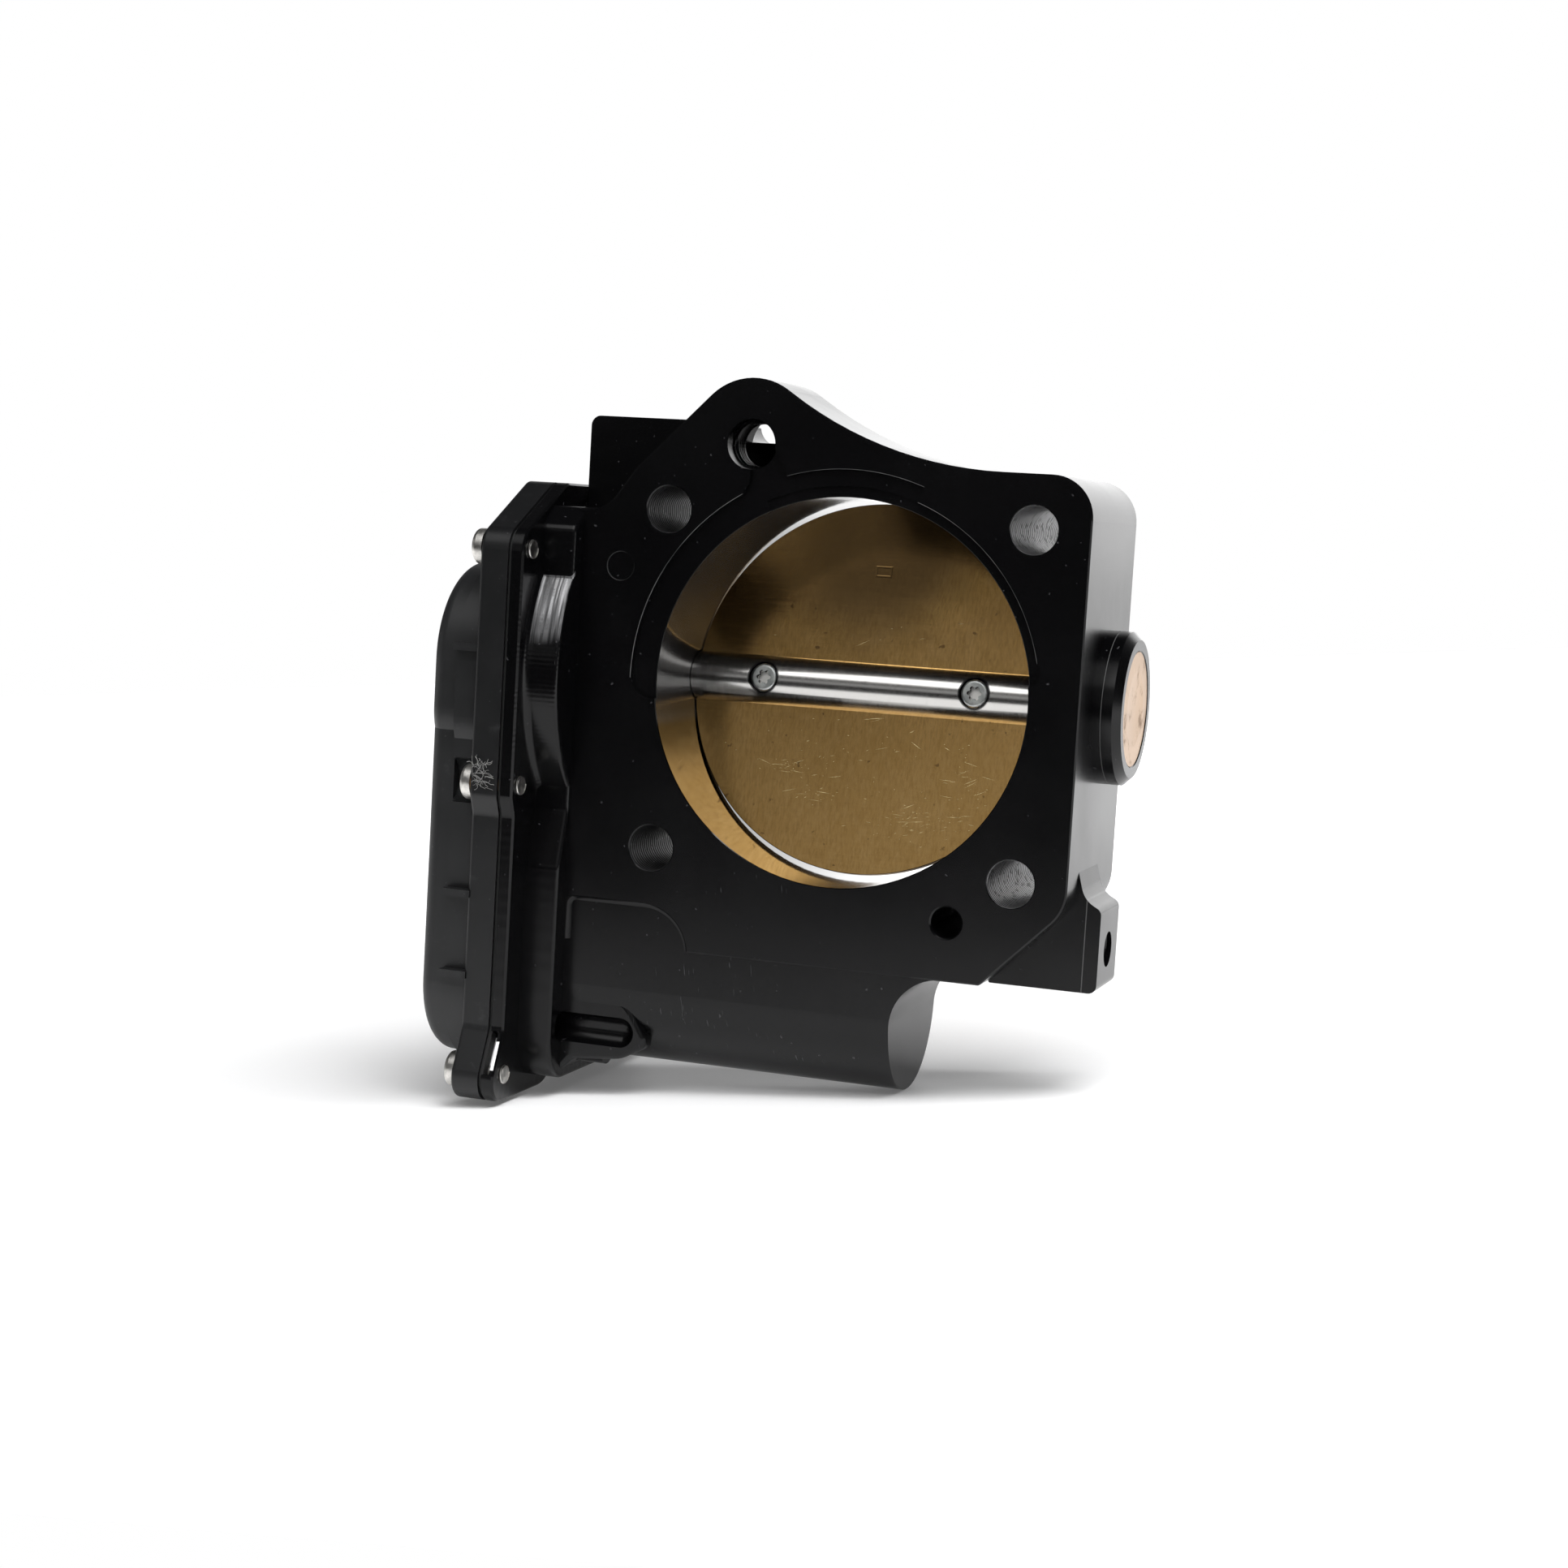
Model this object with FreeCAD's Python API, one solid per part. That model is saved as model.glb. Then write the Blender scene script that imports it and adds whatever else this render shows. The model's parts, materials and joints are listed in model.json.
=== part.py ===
"""Electronic (drive-by-wire) throttle body, modelled piece by piece.

Frame: millimetres, +Z up. The origin lies on the bore axis in the front mounting face.
The bore runs along Y and the front face looks along -Y. The throttle shaft runs along X,
with the gear case at -X and the bearing boss at +X.
"""
import FreeCAD, Part
import math
import os

V = FreeCAD.Vector
Y_AXIS = V(0, 1, 0)
X_AXIS = V(1, 0, 0)

# --- Driving dimensions: bore, body and shaft ------------------------------------------
BORE_R = 37.0
BODY_DEPTH = 40.0
BODY_LEFT = -53.5
BODY_RIGHT = 46.8
BODY_TOP = 43.2
BODY_BOTTOM = -52.5
BOLT_X = 36.0
BOLT_Z = 32.8
BOLT_HOLE_R = 4.5
EDGE_CHAMFER = 0.3
HOLE_CHAMFER = 0.25
LOCATING_HOLE = (24.1, -41.3)
LOCATING_HOLE_R = 3.0
LOCATING_HOLE_DEPTH = 14.0
PASSAGE_HOLE = (-45.4, 21.4)
PASSAGE_R = 2.8
PASSAGE_DEPTH = 9.0
RECESS_DEPTH = 1.0
RECESS_WIDE_R = 42.2
RECESS_NARROW_R = 39.1
RECESS_NARROW_DEPTH = 1.5
O_RING_R = 40.0
O_RING_WIRE_R = 1.2
O_RING_GROOVE_HALF = 1.4
O_RING_GROOVE_DEPTH = 1.9

SHAFT_Y = 24.0
SHAFT_R = 5.0
SHAFT_LEFT = -71.5
SHAFT_RIGHT = 49.6
SHAFT_GAP = 0.3
SHAFT_THREAD_R = 3.0
SHAFT_FLAT = 3.6
SHAFT_FLAT_RIGHT = -62.9
INSERT_LEFT = -69.4
REST_TILT = 11.4
PLATE_R = 36.93
PLATE_THICK = 2.0
PLATE_SCREW_X = 21.6
PLATE_SCREW_R = 1.5
PLATE_SCREW_HEAD_R = 2.8
PLATE_SCREW_HEAD = 2.1
PLATE_SCREW_SEAT = 2.6

# --- Top ear and the block behind it ------------------------------------------------------
EAR_X = -20.0
EAR_Z = 46.0
EAR_R = 12.45
EAR_DEPTH = 20.0
EAR_HOLE_R = 4.5
EAR_MOUTH_R = 4.8
EAR_MOUTH_DEPTH = 3.4
EAR_COUNTERBORE_R = 7.0
EAR_COUNTERBORE_Y = 9.4
BLOCK_LEFT = -59.5
BLOCK_RIGHT = -32.2
BLOCK_TOP = 50.6
BLOCK_FRONT = 15.0
SHELF_RIGHT = -17.0
SHELF_TOP = 46.9

# --- Bearing boss, bearings and seals ------------------------------------------------------
BOSS_R = 14.75
BOSS_END = 52.4
BEARING_R = 11.0
BEARING_WIDTH = 6.0
BEARING_INNER_LAND_R = 7.0
BEARING_OUTER_LAND_R = 9.0
BALL_R = 1.5
BALL_CIRCLE_R = 8.0
BALL_COUNT = 9
RACE_GAP = 0.08
GEAR_BEARING_X = -55.8
PLUG_BEARING_X = 43.5
PLUG_THICK = 1.8
SEAL_R = 9.0
SEAL_WIDTH = 4.0
SEAL_GAP = 0.05
GEAR_SEAL_X = -48.6
PLUG_SEAL_X = 39.4
BOSS_CHAMFER = 1.5
BOSS_SEAM_X = 48.5
BOSS_SEAM = 0.2

# --- Side tab ------------------------------------------------------------------------------
TAB_RIGHT = 51.6
TAB_FRONT = 9.2
TAB_BACK = 25.4
TAB_HOLE_R = 3.4
TAB_HOLE_Z = -45.6

# --- Motor ------------------------------------------------------------------------------
MOTOR_Y = 17.3
MOTOR_Z = -61.3
MOTOR_HOUSING_R = 16.0
MOTOR_HOUSING_END = 13.8
MOTOR_BORE_R = 13.1
MOTOR_BORE_END = 9.6
MOTOR_CAN_R = 13.0
MOTOR_CAN_WALL = 1.0
MOTOR_CAN_LEFT = -53.6
MOTOR_CAN_RIGHT = 8.5
MOTOR_CAN_END = 1.2
BUSH_CUP = 4.0
BUSH_CUP_R = 4.0
BUSH_CUP_WALL = 1.5
END_PLATE_LEFT = -57.0
END_BUSH_R = 3.2
MOTOR_SHAFT_R = 1.59
MOTOR_BUSH_R = 1.62
MOTOR_SCREW_CIRCLE = 16.2
MOTOR_SCREW_ANGLES = (35.0, -125.0)
MOTOR_SCREW_R = 1.5
MOTOR_SCREW_END = -49.0
MAGNET_LENGTH = (-41.0, -6.0)
MAGNET_R = 9.2
STACK_LENGTH = (-40.0, -7.0)
STACK_R = 8.5
SLOT_COUNT = 5
SLOT_CIRCLE_R = 6.3
SLOT_R = 1.6
WINDING_R = (3.9, 7.9)
WINDING_END = 3.4
COMMUTATOR_R = 3.6
BRUSH_LENGTH = (-50.5, -46.5)
BRUSH_HALF = 1.4
TERMINAL_OFFSETS = (-5.0, 5.0)
TERMINAL_HALF = 1.5
TERMINAL_Z = (-70.4, -69.6)
GUSSET_FRONT = 1.7

# --- Gear case: X levels, then outline -----------------------------------------------------
FLOOR_X = -56.0
FLANGE_INNER_X = -60.5
FLANGE_X = -63.0
GASKET_X = -63.7
GASKET_INSET = 0.7
COVER_FLANGE_X = -69.6
DOME_STEP_X = -75.0
DOME_X = -81.0
COVER_WALL = 2.2
CASE_MID_Y = 24.0
CASE_WALL_FRONT = -3.9
CASE_WALL_TOP = 32.3
CASE_WALL_BOTTOM = -81.0
CASE_WALL = 2.6
DRUM_R = 33.4
WAIST_Y = -10.7
WAIST_Z = -70.0
LOWER_EAR_Y = -14.6
LOWER_EAR_Z = -78.6
COVER_SCREWS = ((-8.4, 23.6), (-8.8, -22.1), (-9.8, -78.8))
COVER_SCREW_R = 1.75
COVER_SCREW_HEAD_R = 3.5
COVER_SCREW_HEAD = 2.3
COVER_SCREW_TIP = 0.5
SLEEVE_R = 3.0
SCREW_RELIEF_R = 4.4
NOTCH_LENGTH = 8.8
NOTCH_WIDTH = 1.6
NOTCH_CENTRE = (-12.65, -74.3)
SCOOP_R = 3.0
SCOOP_CENTRE = (1.2, -70.2)
CONNECTOR_X = (-82.4, -71.4)
CONNECTOR_Y = (48.0, 76.0)
CONNECTOR_Z = (-64.0, -38.0)
CONNECTOR_SOCKET_X = (-80.8, -73.0)
CONNECTOR_SOCKET_Z = (-62.4, -39.6)
CONNECTOR_FLOOR_Y = 60.0
CONNECTOR_BLADE_X = (-78.6, -75.2)
CONNECTOR_BLADE_Z = (-57.0, -51.0, -45.0)
COVER_RIB_Z = (4.0, -44.0, -60.0)
BOARD_X = (-76.6, -75.0)
BOARD_POST_Y = (8.5, 39.5)
CHIP_Y = (20.5, 27.5)

# --- Gear train ------------------------------------------------------------------------------
PRESSURE_ANGLE = 25.0
BACKLASH = 0.12
FINE_MODULE = 0.8
COARSE_MODULE = 1.0
PINION_TEETH = 14
WHEEL_TEETH = 54
SMALL_TEETH = 14
SECTOR_TEETH = 56
CENTRE_EXTRA = 0.05
STOP_ANGLES = (131.6, 21.2)
SECTOR_LOW_ANGLE = -109.0
SECTOR_HIGH_ANGLE = -4.0
PIN_R = 2.5
PIN_GAP = 0.03
PIN_LEFT = -76.0
PIN_ROOT = -50.0
BUSH_R = 3.6
SECTOR_LEFT = -69.0
SECTOR_RIGHT = -63.4
HUB_LEFT = -73.4
HUB_R = 9.0
CUP_R = 7.6
INSERT_R = 6.4
ARM_LEFT = -66.6
ARM_R = 20.0
ARM_ANGLES = (102.0, 118.0)
WEDGE_REACH = 40.0
WHEEL_LEFT = -62.4
WHEEL_RIGHT = -59.2
STOP_CIRCLE_R = 18.0
STOP_PIN_R = 1.5
STOP_PIN_LEFT = -67.0
STOP_PIN_ROOT = -54.2
SPRING_R = 9.6
SPRING_WIRE_R = 0.6
SPRING_PITCH = 1.7
SPRING_TURNS = 3


# --- Small helpers ---------------------------------------------------------------------------
def box(x0, x1, y0, y1, z0, z1):
    """Box between two corners."""
    return Part.makeBox(x1 - x0, y1 - y0, z1 - z0, V(x0, y0, z0))


def x_cylinder(x0, x1, y, z, r):
    """Cylinder along X."""
    return Part.makeCylinder(r, x1 - x0, V(x0, y, z), X_AXIS)


def y_cylinder(y0, y1, x, z, r):
    """Cylinder along Y."""
    return Part.makeCylinder(r, y1 - y0, V(x, y0, z), Y_AXIS)


def x_tube(x0, x1, y, z, r_in, r_out):
    """Tube along X."""
    return x_cylinder(x0, x1, y, z, r_out).cut(x_cylinder(x0 - 1, x1 + 1, y, z, r_in))


def x_cone(x0, x1, y, z, r0, r1):
    """Cone along X, with radius r0 at x0 and r1 at x1."""
    return Part.makeCone(r0, r1, x1 - x0, V(x0, y, z), X_AXIS)


def y_cone(y0, y1, x, z, r0, r1):
    """Cone along Y, with radius r0 at y0 and r1 at y1."""
    return Part.makeCone(r0, r1, y1 - y0, V(x, y0, z), Y_AXIS)


def fuse(shapes):
    """One shape from several that touch or overlap."""
    result = shapes[0].multiFuse(shapes[1:])
    return result.removeSplitter()


def cut(shape, tools):
    """Shape with every tool taken away."""
    for tool in tools:
        shape = shape.cut(tool)
    return shape


def on_xz(u, v):
    return V(u, 0, v)


def on_yz(u, v):
    return V(0, u, v)


def rounded_face(corners, place):
    """Closed face through corners (u, v, radius), each rounded by a tangent arc."""
    points = [place(u, v) for u, v, _ in corners]
    starts = []
    for i, (_, _, radius) in enumerate(corners):
        here = points[i]
        back = (points[i - 1] - here).normalize()
        ahead = (points[(i + 1) % len(points)] - here).normalize()
        half = back.getAngle(ahead) / 2
        reach = radius / math.tan(half)
        middle = here + (back + ahead).normalize() * (radius / math.sin(half) - radius)
        starts.append((here + back * reach, middle, here + ahead * reach))
    edges = []
    for i, (first, middle, last) in enumerate(starts):
        if first.distanceToPoint(last) > 1e-6:
            edges.append(Part.Arc(first, middle, last).toShape())
        following = starts[(i + 1) % len(starts)][0]
        if last.distanceToPoint(following) > 1e-6:
            edges.append(Part.LineSegment(last, following).toShape())
    return Part.Face(Part.Wire(edges))


def xz_prism(corners, y0, y1):
    """Outline in X and Z, drawn out along Y."""
    face = rounded_face(corners, on_xz)
    face.translate(V(0, y0, 0))
    return face.extrude(V(0, y1 - y0, 0))


def yz_prism(corners, x0, x1):
    """Outline in Y and Z, drawn out along X."""
    face = rounded_face(corners, on_yz)
    face.translate(V(x0, 0, 0))
    return face.extrude(V(x1 - x0, 0, 0))


def mirrored(corners):
    """Front half of an outline, completed by its mirror image about the case's middle."""
    other = [(2 * CASE_MID_Y - y, z, r) for y, z, r in reversed(corners)]
    return list(corners) + other


def edges_where(shape, test):
    """Edges whose every sampled point passes the test."""
    chosen = []
    for edge in shape.Edges:
        samples = edge.discretize(5)
        if all(test(point) for point in samples):
            chosen.append(edge)
    return chosen


def near(value, target, tolerance=0.02):
    return abs(value - target) < tolerance


def six_lobe(x, y, z, r, depth, axis):
    """Six-lobe socket of outer radius r, from a point along an axis."""
    start = V(x, y, z)
    lobe_r = r * 0.28
    core_r = r - lobe_r
    lobes = [Part.makeCylinder(core_r, depth, start, axis)]
    across = Y_AXIS.cross(axis) if abs(axis.y) < 0.5 else X_AXIS
    other = axis.cross(across)
    for i in range(6):
        angle = math.radians(60 * i)
        centre = start + (across * math.cos(angle) + other * math.sin(angle)) * core_r
        lobes.append(Part.makeCylinder(lobe_r, depth, centre, axis))
    return fuse(lobes)


def all_cover_screws():
    """Centres of the six cover screws: three in front and three behind."""
    rear = [(2 * CASE_MID_Y - y, z) for y, z in COVER_SCREWS]
    return list(COVER_SCREWS) + rear


def motor_screws():
    """Centres of the motor's two mounting screws."""
    centres = []
    for degrees in MOTOR_SCREW_ANGLES:
        angle = math.radians(degrees)
        y = MOTOR_Y + MOTOR_SCREW_CIRCLE * math.cos(angle)
        z = MOTOR_Z + MOTOR_SCREW_CIRCLE * math.sin(angle)
        centres.append((y, z))
    return centres


# --- Gear geometry ---------------------------------------------------------------------------
def involute(angle):
    return math.tan(angle) - angle


def gear_axis():
    """Centre (y, z) of the intermediate gear, in mesh with both the sector and the pinion."""
    to_shaft = COARSE_MODULE * (SECTOR_TEETH + SMALL_TEETH) / 2 + CENTRE_EXTRA
    to_motor = FINE_MODULE * (WHEEL_TEETH + PINION_TEETH) / 2 + CENTRE_EXTRA
    dy = MOTOR_Y - SHAFT_Y
    dz = MOTOR_Z
    span = math.hypot(dy, dz)
    along = (to_shaft ** 2 - to_motor ** 2 + span ** 2) / (2 * span)
    aside = math.sqrt(to_shaft ** 2 - along ** 2)
    y = SHAFT_Y + (along * dy - aside * dz) / span
    z = (along * dz + aside * dy) / span
    return y, z


def gear(module, teeth, x0, x1, y, z, first_tooth):
    """Spur gear along X; first_tooth is the angle in radians, from +Y towards +Z, of one tooth."""
    pressure = math.radians(PRESSURE_ANGLE)
    pitch_r = module * teeth / 2
    base_r = pitch_r * math.cos(pressure)
    dedendum = 1.25 * module
    addendum = 0.95 * module
    root_r = pitch_r - dedendum
    tip_r = pitch_r + addendum
    half_tooth = (math.pi * module / 2 - BACKLASH) / (2 * pitch_r)

    def point(radius, angle):
        return V(x0, y + radius * math.cos(angle), z + radius * math.sin(angle))

    def half_angle(radius):
        if radius <= base_r:
            return half_tooth + involute(pressure)
        return half_tooth + involute(pressure) - involute(math.acos(base_r / radius))

    flank_start = max(base_r, root_r)
    radii = [flank_start + (tip_r - flank_start) * i / 3 for i in range(4)]
    edges = []
    for i in range(teeth):
        centre = first_tooth + 2 * math.pi * i / teeth
        rising = [point(radius, centre - half_angle(radius)) for radius in radii]
        falling = [point(radius, centre + half_angle(radius)) for radius in reversed(radii)]
        root_in = point(root_r, centre - half_angle(root_r))
        root_out = point(root_r, centre + half_angle(root_r))
        if base_r > root_r:
            edges.append(Part.LineSegment(root_in, rising[0]).toShape())
        for flank in (rising, falling):
            curve = Part.BSplineCurve()
            curve.interpolate(flank)
            edges.append(curve.toShape())
            if flank is rising:
                edges.append(Part.Arc(rising[-1], point(tip_r, centre), falling[0]).toShape())
        if base_r > root_r:
            edges.append(Part.LineSegment(falling[-1], root_out).toShape())
        space = centre + math.pi / teeth
        next_in = point(root_r, centre + 2 * math.pi / teeth - half_angle(root_r))
        edges.append(Part.Arc(root_out, point(root_r, space), next_in).toShape())
    face = Part.Face(Part.Wire(edges))
    return face.extrude(V(x1 - x0, 0, 0))


# --- Housing ---------------------------------------------------------------------------------
def body_outline():
    """Outline of the body in X and Z, with the ear, the long concave top and the cut corner."""
    root_half = math.sqrt(0.5)
    top_turn_x = 30.0
    reach = top_turn_x - EAR_X
    rise = BODY_TOP - EAR_Z
    hollow_r = (reach ** 2 + rise ** 2 - EAR_R ** 2) / (2 * (EAR_R - rise))
    centre_z = BODY_TOP + hollow_r
    to_hollow_x = (top_turn_x - EAR_X) / (hollow_r + EAR_R)
    to_hollow_z = (centre_z - EAR_Z) / (hollow_r + EAR_R)
    touch_x = EAR_X + EAR_R * to_hollow_x
    touch_z = EAR_Z + EAR_R * to_hollow_z
    down = (touch_z - BODY_TOP) / to_hollow_x
    foot_x = touch_x + down * to_hollow_z
    line_offset = EAR_Z - EAR_X + EAR_R / root_half
    up = (touch_x + line_offset - touch_z) / (to_hollow_x + to_hollow_z)
    peak_x = touch_x - up * to_hollow_z
    peak_z = touch_z + up * to_hollow_x
    corner_x = 31.2
    corner_offset = BODY_BOTTOM - corner_x
    return [
        (BODY_LEFT - 1.0, BODY_BOTTOM, 0.0),
        (corner_x, BODY_BOTTOM, 1.0),
        (BODY_RIGHT, BODY_RIGHT + corner_offset, 9.0),
        (BODY_RIGHT, BODY_TOP, 8.0),
        (foot_x, BODY_TOP, hollow_r - 1.5),
        (peak_x, peak_z, EAR_R - 0.15),
        (-43.2, -43.2 + line_offset, 8.0),
        (-49.2, 32.0, 7.0),
        (BODY_LEFT - 1.0, 32.0, 0.0),
    ]


def body_block():
    """Prismatic body: the ear is thinner than the rest, and a square block stands behind it."""
    outline = body_outline()
    front = xz_prism(outline, 0.0, EAR_DEPTH)
    outer = edges_where(front, lambda p: near(p.y, 0.0) and p.x > BODY_LEFT - 0.5)
    front = front.makeChamfer(EDGE_CHAMFER, outer)
    rear = xz_prism(outline, EAR_DEPTH, BODY_DEPTH)
    rear = rear.cut(box(-70, 60, EAR_DEPTH - 1, BODY_DEPTH + 1, BODY_TOP, 70))
    outer = edges_where(rear, lambda p: near(p.y, BODY_DEPTH) and p.x > BODY_LEFT - 0.5)
    rear = rear.makeChamfer(EDGE_CHAMFER, outer)
    block_root = 30.0
    block = xz_prism([
        (BLOCK_LEFT, block_root, 0.0),
        (BLOCK_RIGHT, block_root, 0.0),
        (BLOCK_RIGHT, BLOCK_TOP, 0.5),
        (BLOCK_LEFT, BLOCK_TOP, 2.0),
    ], BLOCK_FRONT, BODY_DEPTH)
    rims = edges_where(block, lambda p: p.z > block_root + 0.5
                       and (near(p.y, BLOCK_FRONT) or near(p.y, BODY_DEPTH)))
    block = block.makeChamfer(EDGE_CHAMFER, rims)
    return [front, rear, block, body_shelf()]


def body_shelf():
    """Shelf behind the ear, swept up into the block's right side."""
    return xz_prism([
        (BLOCK_RIGHT - 2.0, 40.0, 0.0),
        (SHELF_RIGHT, 40.0, 0.0),
        (SHELF_RIGHT, SHELF_TOP, 2.5),
        (BLOCK_RIGHT + 0.8, SHELF_TOP, 4.2),
        (BLOCK_RIGHT - 0.1, BLOCK_TOP - 0.2, 0.0),
        (BLOCK_RIGHT - 2.0, BLOCK_TOP - 0.2, 0.0),
    ], EAR_DEPTH - 0.5, BODY_DEPTH - EDGE_CHAMFER)


def motor_housing():
    """Round motor housing below the body, blended into it at its free end."""
    blend_r = 10.0
    blend_end = MOTOR_HOUSING_END + blend_r + 2.0
    below = MOTOR_Z - MOTOR_HOUSING_R - 10.0
    inside_body = BODY_BOTTOM + 7.5
    plan = xz_prism([
        (BODY_LEFT, inside_body + 5.0, 0.0),
        (BODY_LEFT, below, 0.0),
        (MOTOR_HOUSING_END, below, 0.0),
        (MOTOR_HOUSING_END, BODY_BOTTOM, blend_r),
        (blend_end, BODY_BOTTOM, 0.0),
        (blend_end, inside_body + 5.0, 0.0),
    ], -5.0, BODY_DEPTH)
    barrel = x_cylinder(BODY_LEFT, blend_end + 5.0, MOTOR_Y, MOTOR_Z, MOTOR_HOUSING_R)
    front_y = MOTOR_Y - MOTOR_HOUSING_R
    back_y = MOTOR_Y + MOTOR_HOUSING_R
    saddle = box(BODY_LEFT, blend_end + 5.0, front_y, back_y, MOTOR_Z, inside_body)
    return fuse([barrel, saddle]).common(plan)


def case_flange_outline():
    """Outline in Y and Z shared by the case flange, the gasket and the cover's flange."""
    return mirrored([
        (7.5, 36.8, 4.0),
        (-12.2, 26.2, 5.0),
        (-12.2, -24.5, 2.5),
        (WAIST_Y, -28.0, 2.5),
        (WAIST_Y, WAIST_Z, 3.0),
        (LOWER_EAR_Y, LOWER_EAR_Z, 3.0),
        (LOWER_EAR_Y, -84.2, 4.6),
        (10.0, -84.2, 6.0),
        (14.0, -81.6, 6.0),
    ])


def case_wall_outline(inset):
    """Outline in Y and Z of the case wall, moved inwards by inset."""
    front = CASE_WALL_FRONT + inset
    return mirrored([
        (1.2 + inset / 2, CASE_WALL_TOP - inset, 2.0),
        (front, 28.3 - inset / 2, 2.0),
        (front, 8.0, 0.0),
        (-0.8 + inset, 8.0, 0.0),
        (-0.8 + inset, -27.0, 4.0),
        (front, -38.0, 4.0),
        (front, CASE_WALL_BOTTOM + inset, 8.0 - inset / 2),
    ])


def case_wall(inset, x0, x1):
    """Case wall solid: the outline joined to the round drum about the throttle shaft."""
    wall = yz_prism(case_wall_outline(inset), x0, x1)
    drum = x_cylinder(x0, x1, SHAFT_Y, 0.0, DRUM_R - inset)
    return fuse([wall, drum])


def case_shell():
    """Open gear case: flange, wall and floor, with a rounded root and ridge."""
    wall = case_wall(0.0, FLANGE_INNER_X, BODY_LEFT)
    ridge = edges_where(wall, lambda p: near(p.x, BODY_LEFT))
    wall = wall.makeFillet(0.8, ridge)
    flange = yz_prism(case_flange_outline(), FLANGE_X, FLANGE_INNER_X)
    rim = edges_where(flange, lambda p: near(p.x, FLANGE_INNER_X))
    flange = flange.makeChamfer(0.4, rim)
    shell = fuse([wall, flange])
    root = edges_where(shell, lambda p: near(p.x, FLANGE_INNER_X) and on_drum(p) and p.z < 30.0)
    return shell.makeFillet(1.6, root)


def on_drum(point):
    """True on the drum's round surface."""
    return near(math.hypot(point.y - SHAFT_Y, point.z), DRUM_R)


def side_tab():
    """Tab low on the right, with a neck that sweeps out of the body."""
    return xz_prism([
        (30.7, -53.2, 0.4),
        (TAB_RIGHT, -53.2, 1.6),
        (TAB_RIGHT, -37.4, 1.6),
        (48.2, -35.6, 5.0),
        (46.4, -29.0, 0.0),
        (38.0, -29.0, 0.0),
        (30.7, -48.0, 0.0),
    ], TAB_FRONT, TAB_BACK)


def bearing_boss():
    """Round boss at the free end of the shaft, with a chamfered rim and a fine seam groove."""
    boss = x_cylinder(BODY_RIGHT - 6.0, BOSS_END, SHAFT_Y, 0.0, BOSS_R)
    rim = edges_where(boss, lambda p: near(p.x, BOSS_END))
    boss = boss.makeChamfer(BOSS_CHAMFER, rim)
    seam_x = BOSS_SEAM_X + BOSS_SEAM
    seam = x_tube(BOSS_SEAM_X, seam_x, SHAFT_Y, 0.0, BOSS_R - 0.15, BOSS_R + 1)
    return boss.cut(seam)


def motor_screw_bosses():
    """Bosses behind the case floor that the motor's screws thread into."""
    bosses = []
    boss_end = MOTOR_SCREW_END + 3.0
    for y, z in motor_screws():
        bosses.append(x_cylinder(BODY_LEFT - 1.0, boss_end, y, z, 3.4))
    gusset = xz_prism([
        (BODY_LEFT - 0.5, -62.0, 0.0),
        (-40.0, -63.5, 6.0),
        (-34.6, -72.2, 2.5),
        (-41.0, -75.6, 6.0),
        (-51.0, -76.6, 2.0),
        (BODY_LEFT - 0.5, -79.6, 0.0),
    ], GUSSET_FRONT, 12.0)
    rim = edges_where(gusset, lambda p: near(p.y, GUSSET_FRONT) and p.x > BODY_LEFT + 2.0 and p.z < -63.0)
    return bosses + [gusset.makeFillet(1.2, rim)]


def recess_tools():
    """Shallow recess round the top half of the bore, and the channel up to the ear's hole."""
    wide = y_cylinder(-1.0, RECESS_DEPTH, 0.0, 0.0, RECESS_WIDE_R)
    left = xz_prism([
        (0.0, 0.0, 0.0),
        (-60.0, -5.4, 0.0),
        (-60.0, 60.0, 0.0),
        (22.0, 60.0, 0.0),
    ], -2.0, 2.0)
    wide = wide.common(left)
    hook_r = RECESS_WIDE_R - 38.1
    hook = y_cylinder(-1.0, RECESS_DEPTH, -38.1, 0.2, hook_r)
    corner = xz_prism([
        (-45.0, -6.0, 0.0),
        (-35.0, -6.0, 0.0),
        (-35.0, 0.2, 0.0),
        (-45.0, 0.2, 0.0),
    ], -2.0, 2.0)
    wide = fuse([wide.cut(corner), hook])
    narrow = y_cylinder(-1.0, RECESS_NARROW_DEPTH, 0.0, 0.0, RECESS_NARROW_R)
    upper = xz_prism([
        (0.0, 0.0, 0.0),
        (60.0, 9.5, 0.0),
        (60.0, 60.0, 0.0),
        (-28.0, 60.0, 0.0),
    ], -2.0, 2.0)
    narrow = narrow.common(upper)
    tail_depth = RECESS_DEPTH + 0.1
    tail = y_cylinder(-1.0, tail_depth, 36.5, 6.6, 2.5)
    channel = xz_prism([
        (-22.6, 34.0, 0.0),
        (-10.0, 36.0, 0.0),
        (-15.6, 46.0, 0.0),
        (-19.9, 46.0, 0.0),
        (-19.9, 39.0, 2.5),
    ], -1.0, RECESS_DEPTH)
    return [wide, narrow, tail, channel]


def pocket_tool():
    """Milled pocket beside the case, flush with the motor housing."""
    depth = MOTOR_Y - MOTOR_HOUSING_R
    right = -27.3
    top = -43.6
    bottom = -66.0
    tool = xz_prism([
        (BODY_LEFT, bottom, 0.0),
        (right, bottom, 0.0),
        (right, top, 9.8),
        (BODY_LEFT, top, 2.0),
    ], -1.0, depth)
    root = [edge for edge in edges_where(tool, lambda p: near(p.y, depth))
            if edge.BoundBox.ZMax > bottom + 1.0]
    return tool.makeFillet(1.1, root)


def scoop_tool():
    """Ball-nosed relief beside the case, above the gusset."""
    y, z = SCOOP_CENTRE
    right = -41.2
    groove = x_cylinder(FLOOR_X, right, y, z, SCOOP_R)
    nose = Part.makeSphere(SCOOP_R, V(right, y, z))
    return fuse([groove, nose])


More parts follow.
